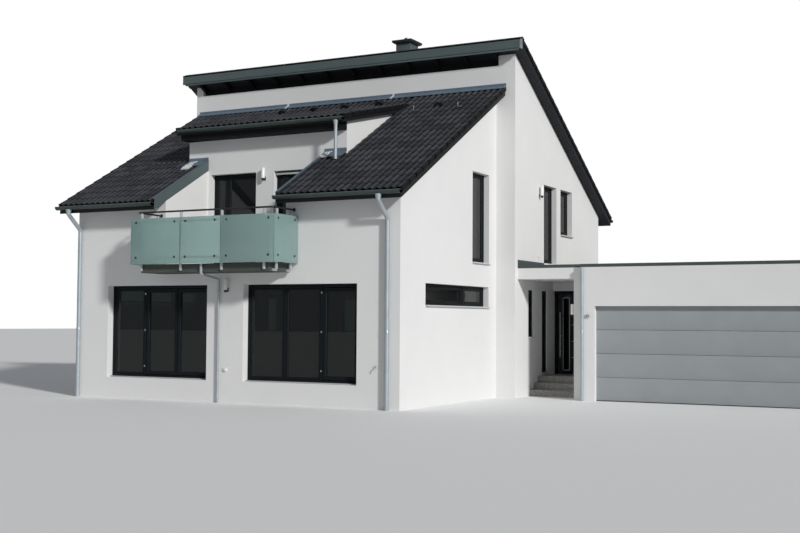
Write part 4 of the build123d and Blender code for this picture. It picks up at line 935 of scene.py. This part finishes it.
# Leaves: hinge is the side that the hinge is on, 1 for west
leaf = {"gap": 0.012, "pairHalfGap": 0.008, "pane": 0.08, "hingeOut": 0.006, "knuckle": 0.06, "knuckleLift": 0.0602,
        "knuckleInset": 0.18, "handleIn": 0.04, "handleZ": 1.54, "handleOut": 0.036, "handleRadius": 0.009,
        "profile": [(0.0, 0.003), (0.003, 0.0), (0.069, 0.0), (0.085, 0.016), (0.085, 0.074), (0.079, 0.08),
                    (0.0, 0.08)]}
pairMiddle = (westLights[1][0] + westLights[2][1]) / 2
leafSpans = {
    "west_door_left": (westLights[1][0] + leaf["gap"], pairMiddle - leaf["pairHalfGap"], 1),
    "west_door_right": (pairMiddle + leaf["pairHalfGap"], westLights[2][1] - leaf["gap"], -1),
    "east_door": (eastLights[2][0] + leaf["gap"], eastLights[2][1] - leaf["gap"], 1),
}


def knuckles(bm, axisX, hinge, faceY, low, high):
    # Three knuckles with their plates, as on the CAD leaves
    size, lift, inwards = leaf["knuckle"], leaf["knuckleLift"], leaf["knuckleInset"]
    lowest, highest = low + inwards + lift, high - inwards - 2 * size + lift
    for bottom in (lowest, (lowest + highest) / 2, highest):
        addLathe(bm, (axisX, faceY + 0.014, bottom),
                 [(0.0075, 0.0), (0.009, 0.002), (0.009, size - 0.002), (0.0075, size)], sides=16)
        plateX = sorted((axisX, axisX + hinge * 0.03))
        addBlock(bm, (plateX[0], faceY, bottom), (plateX[1], faceY + 0.01, bottom + size), 0.002)


for bodyName, (u0, u1, hinge) in leafSpans.items():
    bm = bmesh.new()
    low, high, pane = clearLow + leaf["gap"], clearHigh - leaf["gap"], leaf["pane"]
    addRing(bm, terraceFace, (u0, u1, low, high), leaf["profile"])
    addPlate(bm, terraceFace, (u0 + pane, u1 - pane, low + pane, high - pane), joinery["pane"], 0.0, 1)
    knuckles(bm, u0 - leaf["hingeOut"] if hinge > 0 else u1 + leaf["hingeOut"], hinge, leafBack, low, high)
    handleX = u1 - leaf["handleIn"] if hinge > 0 else u0 + leaf["handleIn"]
    handleZ, knobY = leaf["handleZ"], leafBack + leaf["handleOut"]
    addBlock(bm, (handleX - 0.016, leafBack, 1.44), (handleX + 0.016, leafBack + 0.008, 1.60), 0.003, 2)
    for path in ([(handleX, leafBack, handleZ), (handleX, knobY, handleZ)],
                 [(handleX, knobY, handleZ + 0.009), (handleX, knobY, handleZ - 0.12)]):
        addTube(bm, path, leaf["handleRadius"], 12, 2)
    finishPiece(bodyName + "Leaf", bm, ["foil", "glass", "steel"], body=bodyName,
                replaced=(bodyName + "_leaf", bodyName + "_glass"))
print("windows and terrace doors built")

# Entrance door: a flush leaf with a tall narrow light, inlaid lines and a steel bar
door = {"x": (5.092, 6.128), "y": (2.82, 2.89), "low": 0.512, "high": 2.638, "light": (0.165, 0.325, 0.11),
        "trim": 0.018, "linesZ": (0.95, 1.38, 1.81, 2.24), "bar": (0.95, 2.15), "barIn": 0.09, "barOut": 0.055,
        "standsZ": (1.1, 2.0), "hingeX": 6.134, "leverZ": 1.55, "leverOut": 0.045}
bm = bmesh.new()
(x0, x1), (doorFront, doorBack), low, high, trim = door["x"], door["y"], door["low"], door["high"], door["trim"]
lightX0, lightX1 = x0 + door["light"][0], x0 + door["light"][1]
lightZ0, lightZ1 = low + door["light"][2], high - door["light"][2]
for u0, u1, v0, v1 in ((x0, lightX0, low, high), (lightX1, x1, low, high),
                       (lightX0 - 0.002, lightX1 + 0.002, low, lightZ0),
                       (lightX0 - 0.002, lightX1 + 0.002, lightZ1, high)):
    addBlock(bm, (u0, doorFront, v0), (u1, doorBack, v1), 0.003)
addRing(bm, southWall(doorFront - 0.008), (lightX0 - trim, lightX1 + trim, lightZ0 - trim, lightZ1 + trim),
        [(0.0, 0.002), (0.002, 0.0), (0.016, 0.0), (trim, 0.002), (trim, 0.02), (0.0, 0.02)], 2)
addBlock(bm, (lightX0, doorFront + 0.023, lightZ0), (lightX1, doorFront + 0.047, lightZ1), 0.0, 1)
for lineZ in door["linesZ"]:
    addBlock(bm, (lightX1 + 0.06, doorFront - 0.003, lineZ - 0.006), (x1 - 0.08, doorFront + 0.004, lineZ + 0.006),
             0.001, 2)
barX, barY = x0 + door["barIn"], doorFront - door["barOut"]
addTube(bm, [(barX, barY, z) for z in door["bar"]], 0.015, 20, 2)
for standZ in door["standsZ"]:
    addTube(bm, [(barX, doorFront + 0.002, standZ), (barX, barY, standZ)], 0.010, 16, 2)
addLathe(bm, (barX, doorFront, 1.52), [(0.008, 0.0), (0.018, 0.0005), (0.018, 0.008), (0.008, 0.010)], "Y", 20, 2)
knuckles(bm, door["hingeX"], -1, doorBack, low, high)
leverY, leverZ = doorBack + door["leverOut"], door["leverZ"]
addTube(bm, [(barX, doorBack, leverZ), (barX, leverY, leverZ), (barX + 0.12, leverY, leverZ)], 0.009, 14, 2)
finishPiece("entranceDoorLeaf", bm, ["doorSheet", "glass", "steel"], body="entrance_door",
            replaced=("entrance_door", "entrance_door_glass"))
print("entrance door built")

# Balcony: three frosted panels in front, one at each side, point fixings on two rails, pale posts, dark handrail
balcony = {"x": (-2.04, 1.94), "front": -6.08, "back": -5.142, "slabX": (-1.82, 1.72), "low": 3.15, "high": 4.2,
           "glass": 0.012, "edge": 0.004, "joints": (-0.6225, 0.5035), "joint": 0.006, "postHalf": (0.025, 0.0225),
           "posts": (-1.8025, -0.6675, 0.4675, 1.6025), "postY": (-5.99, -5.945), "postZ": (3.0, 4.329),
           "sideX": (-1.92, 1.82), "sideY": (-5.815, -5.26), "lugZ": (2.96, 3.02), "railHeights": (3.305, 4.107),
           "railX": (-1.97, 1.87), "railY": (-6.02, -5.992), "railHalf": 0.014, "railEnd": -5.15, "rail": 4.35,
           "fixingsX": (-1.884, -0.775, -0.47, 0.345, 0.662, 1.775), "fixingsY": (-5.93, -5.27),
           "capFront": -6.074, "corner": 0.08, "turnY": -5.9675, "railRadius": 0.021}
glassWest, glassEast = balcony["x"]
glassLow, glassHigh, thick, edge, joint = [balcony[key] for key in ("low", "high", "glass", "edge", "joint")]
sheetY = (balcony["front"] + edge, balcony["front"] + edge + thick)
bm = bmesh.new()
ends = [glassWest + 0.024, *balcony["joints"], glassEast - 0.024]
for index, (u0, u1) in enumerate(zip(ends, ends[1:])):
    addBlock(bm, (u0 if index == 0 else u0 + joint, sheetY[0], glassLow),
             (u1 if index == 2 else u1 - joint, sheetY[1], glassHigh), 0.002)
for u in (glassWest + edge, glassEast - edge - thick):
    addBlock(bm, (u, sheetY[0], glassLow), (u + thick, balcony["back"], glassHigh), 0.002)
finishPiece("balconyGlassPanels", bm, ["frosted"], replaced=("balcony_glass",))

bm = bmesh.new()
(halfPost, halfDepth), capY = balcony["postHalf"], balcony["capFront"]
(postLow, postHigh), (lugLow, lugHigh) = balcony["postZ"], balcony["lugZ"]
(railWest, railEast), (railFront, railBack), halfRail = balcony["railX"], balcony["railY"], balcony["railHalf"]
for x in balcony["posts"]:
    addBlock(bm, (x - halfPost, balcony["postY"][0], postLow), (x + halfPost, balcony["postY"][1], postHigh), 0.004)
for x, slabEnd in zip(balcony["sideX"], balcony["slabX"]):
    for y in balcony["sideY"]:
        addBlock(bm, (x - halfDepth, y - halfPost, postLow), (x + halfDepth, y + halfPost, postHigh), 0.004)
        lugX = sorted((x, slabEnd))
        addBlock(bm, (lugX[0], y - halfPost, lugLow), (lugX[1], y + halfPost, lugHigh), 0.003)
for z in balcony["railHeights"]:
    for x0, x1, y in ((railWest, railEast, railBack), (railWest, railWest + 0.028, balcony["railEnd"]),
                      (railEast - 0.028, railEast, balcony["railEnd"])):
        addBlock(bm, (x0, railFront, z - halfRail), (x1, y, z + halfRail), 0.003)
    for x in balcony["fixingsX"]:
        addLathe(bm, (x, railFront, z), [(0.02, 0.0), (0.024, 0.003), (0.026, 0.04), (0.02, 0.0445)], "Y", 24, 1)
        addLathe(bm, (x, capY, z), [(0.02, 0.0), (0.027, 0.001), (0.027, 0.004), (0.02, 0.006)], "Y", 24, 1)
    for y in balcony["fixingsY"]:
        for glassX, railX, inwards in ((glassWest, railWest, 1), (glassEast, railEast, -1)):
            for end0, end1, wide, sides in ((glassX + inwards * 0.016, railX, 0.024, 20),
                                            (glassX, glassX + inwards * 0.006, 0.027, 24)):
                addTube(bm, [(x, y, z) for x in sorted((end0, end1))], wide, sides, 1)
finishPiece("balconyPostsAndRails", bm, ["postSheet", "railPaint"], replaced=("balcony_posts",))

bm = bmesh.new()
corner, turnY, railZ = balcony["corner"], balcony["turnY"], balcony["rail"]
west, east = balcony["sideX"]
railPath = [(west, frontY, railZ)]
for cx, startAngle in ((west + corner, 180), (east - corner, 270)):
    for angle in [math.radians(startAngle + 15 * step) for step in range(7)]:
        railPath.append((cx + corner * math.cos(angle), turnY + corner + corner * math.sin(angle), railZ))
addTube(bm, [*railPath, (east, frontY, railZ)], balcony["railRadius"], 20)
for x in (west, east):
    addLathe(bm, (x, frontY, railZ), [(0.02, 0.0), (0.042, 0.001), (0.042, 0.006), (0.02, 0.008)], "Y", 24)
finishPiece("balconyHandrail", bm, ["railPaint"], replaced=("front_handrail", "side_handrails"))

# Balcony outlet: a spout before the slab's edge, which runs back under the slab and down the wall
outlet = {"spout": ((-0.086, -5.978, 3.14), (-0.086, -5.978, 2.95), (-0.086, -5.96, 2.92), (-0.09, -5.92, 2.905)),
          "run": ((-0.09, -5.94, 2.91), (-0.19, -5.21, 2.83), (-0.19, -5.18, 2.79), (-0.19, -5.18, 0.02)),
          "spoutRadius": 0.032, "pipeRadius": 0.026, "bandsZ": (0.08, 1.3, 2.55)}
bm = bmesh.new()
addTube(bm, outlet["spout"], outlet["spoutRadius"], 18)
addTube(bm, outlet["run"], outlet["pipeRadius"], 18)
(pipeX, pipeY, _), outletPipe = outlet["run"][-1], outlet["pipeRadius"]
for z in outlet["bandsZ"]:
    pipeBand(bm, pipeX, pipeY, z, outletPipe, 0.002, 0.026, 0.028, 20, 0)
    addBlock(bm, (pipeX - 0.007, pipeY, z + 0.004), (pipeX + 0.007, frontY, z + 0.024), 0.0)
finishPiece("balconyOutlet", bm, ["pipeZinc"])
print("balcony built")

# Garage door: four plain sections with tongued joints
garage = {"x": (7.04, 12.04), "face": 0.2, "back": 0.242, "height": 2.28, "sections": 4, "gap": 0.004}
face, back, gap = garage["face"], garage["back"], garage["gap"]
section = garage["height"] / garage["sections"] - gap
bm = bmesh.new()
for index in range(garage["sections"]):
    low = gap + index * (section + gap)
    high = low + section
    addPrism(bm, [(back, low), (back, high), (face + 0.012, high), (face + 0.004, high - 0.003), (face, high - 0.010),
                  (face, low + 0.010), (face + 0.004, low + 0.003), (face + 0.012, low)], *garage["x"])
addBlock(bm, (garage["x"][0], face - 0.004, 0.002), (garage["x"][1], back - 0.004, 0.024), 0.002, 1)
finishPiece("sectionalDoorPanels", bm, ["garageSheet", "darkSheet"], replaced=("garage_door",))

# Wall lamps: an opal tube over a dark foot, on a short arm from a plate; each with the way that it faces
lamp = {"out": 0.085, "arm": 0.015, "plate": 0.012, "plateHalf": 0.04,
        "places": ((-0.1, dormerY, 5.43, (0, -1)), (0.03, frontY, 2.675, (0, -1)), (rearEastX, 1.65, 5.28, (1, 0)),
                   (6.48, 0.32, 2.175, (-1, 0)))}
bm = bmesh.new()
for x, y, z, (dx, dy) in lamp["places"]:
    cx, cy = x + dx * lamp["out"], y + dy * lamp["out"]
    addLathe(bm, (cx, cy, z - 0.155), [(0.018, 0.0), (0.03, 0.004), (0.034, 0.05), (0.04, 0.056)], "Z", 28, 1)
    addLathe(bm, (cx, cy, z - 0.1), [(0.04, 0.0), (0.045, 0.003), (0.045, 0.248), (0.041, 0.254), (0.02, 0.2545)],
             "Z", 28)
    for out, half, low, high, rounding in ((lamp["out"], lamp["arm"], 0.115, 0.09, 0.003),
                                           (lamp["plate"], lamp["plateHalf"], 0.15, 0.05, 0.004)):
        (west, east), (south, north) = sorted((x, x + dx * out)), sorted((y, y + dy * out))
        addBlock(bm, (west - half * abs(dy), south - half * abs(dx), z - low),
                 (east + half * abs(dy), north + half * abs(dx), z - high), rounding, 1)
finishPiece("tubeLamps", bm, ["opal", "railPaint"], replaced=("wall_lamps",))

# Small fittings on the walls: vent grille, key switch, socket and garden tap
fittings = {"grille": (rearEastX, 1.611, 3.605), "tapX": 3.933, "tapZ": 0.89, "handleHalf": 0.028,
            "grilleShape": [(0.055, 0.0), (0.06, 0.004), (0.056, 0.016), (0.03, 0.02)],
            "switch": ((6.837, 0.03, 2.0), (6.917, 0.07, 2.08)), "key": ((6.857, 0.022, 2.02), (6.897, 0.032, 2.06)),
            "socket": ((-0.04, -5.17, 0.72), (0.04, frontY, 0.80)), "stem": (-5.165, 0.925),
            "spout": ((-5.19, 0.89), (-5.205, 0.87), (-5.205, 0.83))}
bm = bmesh.new()
addLathe(bm, fittings["grille"], fittings["grilleShape"], "X", 28)
for part, rounding, slotIndex in (("switch", 0.008, 1), ("key", 0.003, 2), ("socket", 0.008, 0)):
    addBlock(bm, *fittings[part], rounding, slotIndex)
tapX, tapZ, (stemY, stemZ), half = [fittings[key] for key in ("tapX", "tapZ", "stem", "handleHalf")]
addTube(bm, [(tapX, y, z) for y, z in ((frontY, tapZ), *fittings["spout"])], 0.011, 12, 2)
addTube(bm, [(tapX, stemY, tapZ), (tapX, stemY, stemZ)], 0.007, 10, 2)
addTube(bm, [(tapX - half, stemY, stemZ), (tapX + half, stemY, stemZ)], 0.007, 10, 2)
finishPiece("wallFittings", bm, ["whitePlastic", "darkSheet", "steel"])

# Boards in the rooms, gravel on the flat roof
boards = {"rooms": ((-4.14, 4.14, -4.77, 0.0), (-4.53, 4.65, 0.36, 6.14)), "thickness": 0.009}
gravelBed = {"low": (5.07, 0.24, 3.22), "high": (12.64, 6.44, 3.262), "rounding": 0.006}
bm = bmesh.new()
for x0, x1, y0, y1 in boards["rooms"]:
    addBlock(bm, (x0, y0, floorLevel), (x1, y1, floorLevel + boards["thickness"]), 0.001)
finishPiece("roomBoards", bm, ["oak"])
bm = bmesh.new()
addBlock(bm, gravelBed["low"], gravelBed["high"], gravelBed["rounding"])
finishPiece("gravelBed", bm, ["gravel"])
print("fittings built")

# The camera as it was solved from the photo's vanishing lines
view = {"place": (16.127, -27.135, 1.893), "heading": 27.8603, "pitch": 2.6483, "roll": 0.3581,
        "focalPixels": 1177.22, "pictureWidth": 800, "sensor": 36.0, "farEnd": 400}
cameraData = bpy.data.cameras.new("camera")
cameraData.sensor_width = view["sensor"]
cameraData.lens = view["focalPixels"] * view["sensor"] / view["pictureWidth"]
cameraData.clip_end = view["farEnd"]
camera = bpy.data.objects.new("camera", cameraData)
turns = [Matrix.Rotation(math.radians(angle), 4, axis) for angle, axis in
         ((view["heading"], "Z"), (90 + view["pitch"], "X"), (view["roll"], "Z"))]
camera.matrix_world = Matrix.Translation(view["place"]) @ turns[0] @ turns[1] @ turns[2]
bpy.context.scene.collection.objects.link(camera)
bpy.context.scene.camera = camera

light = {"sunStrength": 2.6, "sunSoftness": 5.0, "sunFrom": (1.825, -1.0, 0.9), "sunColour": "#FFFEFC",
         "skyStrength": 0.28, "skyColour": "#E9EEF5", "floorColour": "#F2F2F2", "floorReach": 150}
sunData = bpy.data.lights.new("sun", "SUN")
sunData.energy = light["sunStrength"]
sunData.angle = math.radians(light["sunSoftness"])
sunData.color = linear(light["sunColour"])[:3]
sun = bpy.data.objects.new("sun", sunData)
sun.matrix_world = Vector(light["sunFrom"]).to_track_quat("Z", "Y").to_matrix().to_4x4()
bpy.context.scene.collection.objects.link(sun)

# A soft sky lights the house; the camera, also through glass, sees plain white behind it
world = bpy.data.worlds.new("studio")
bpy.context.scene.world = world
world.use_nodes = True
worldTree = world.node_tree
worldTree.nodes.clear()
rays = addNode(worldTree, "ShaderNodeLightPath").outputs
seenThrough = addNode(worldTree, "ShaderNodeMath", {"operation": "MAXIMUM"},
                      {0: rays["Is Camera Ray"], 1: rays["Is Transmission Ray"]})
soft = addNode(worldTree, "ShaderNodeBackground",
               {"Color": linear(light["skyColour"]), "Strength": light["skyStrength"]})
white = addNode(worldTree, "ShaderNodeBackground", {"Color": linear("#FFFFFF"), "Strength": 1.0})
chosen = addNode(worldTree, "ShaderNodeMixShader", {},
                 {0: seenThrough.outputs[0], 1: soft.outputs[0], 2: white.outputs[0]})
addNode(worldTree, "ShaderNodeOutputWorld", {}, {"Surface": chosen.outputs[0]})

reach = light["floorReach"]
floorMesh = bpy.data.meshes.new("studioFloor")
floorMesh.from_pydata([(-reach, -reach, 0), (reach, -reach, 0), (reach, reach, 0), (-reach, reach, 0)], [],
                      [(0, 1, 2, 3)])
floorMesh.materials.append(newMaterial("studioFloor", light["floorColour"], 0.9)[0])
floorObject = bpy.data.objects.new("studioFloor", floorMesh)
bpy.context.scene.collection.objects.link(floorObject)
bpy.context.scene.view_settings.view_transform = "Standard"
print("stage set")
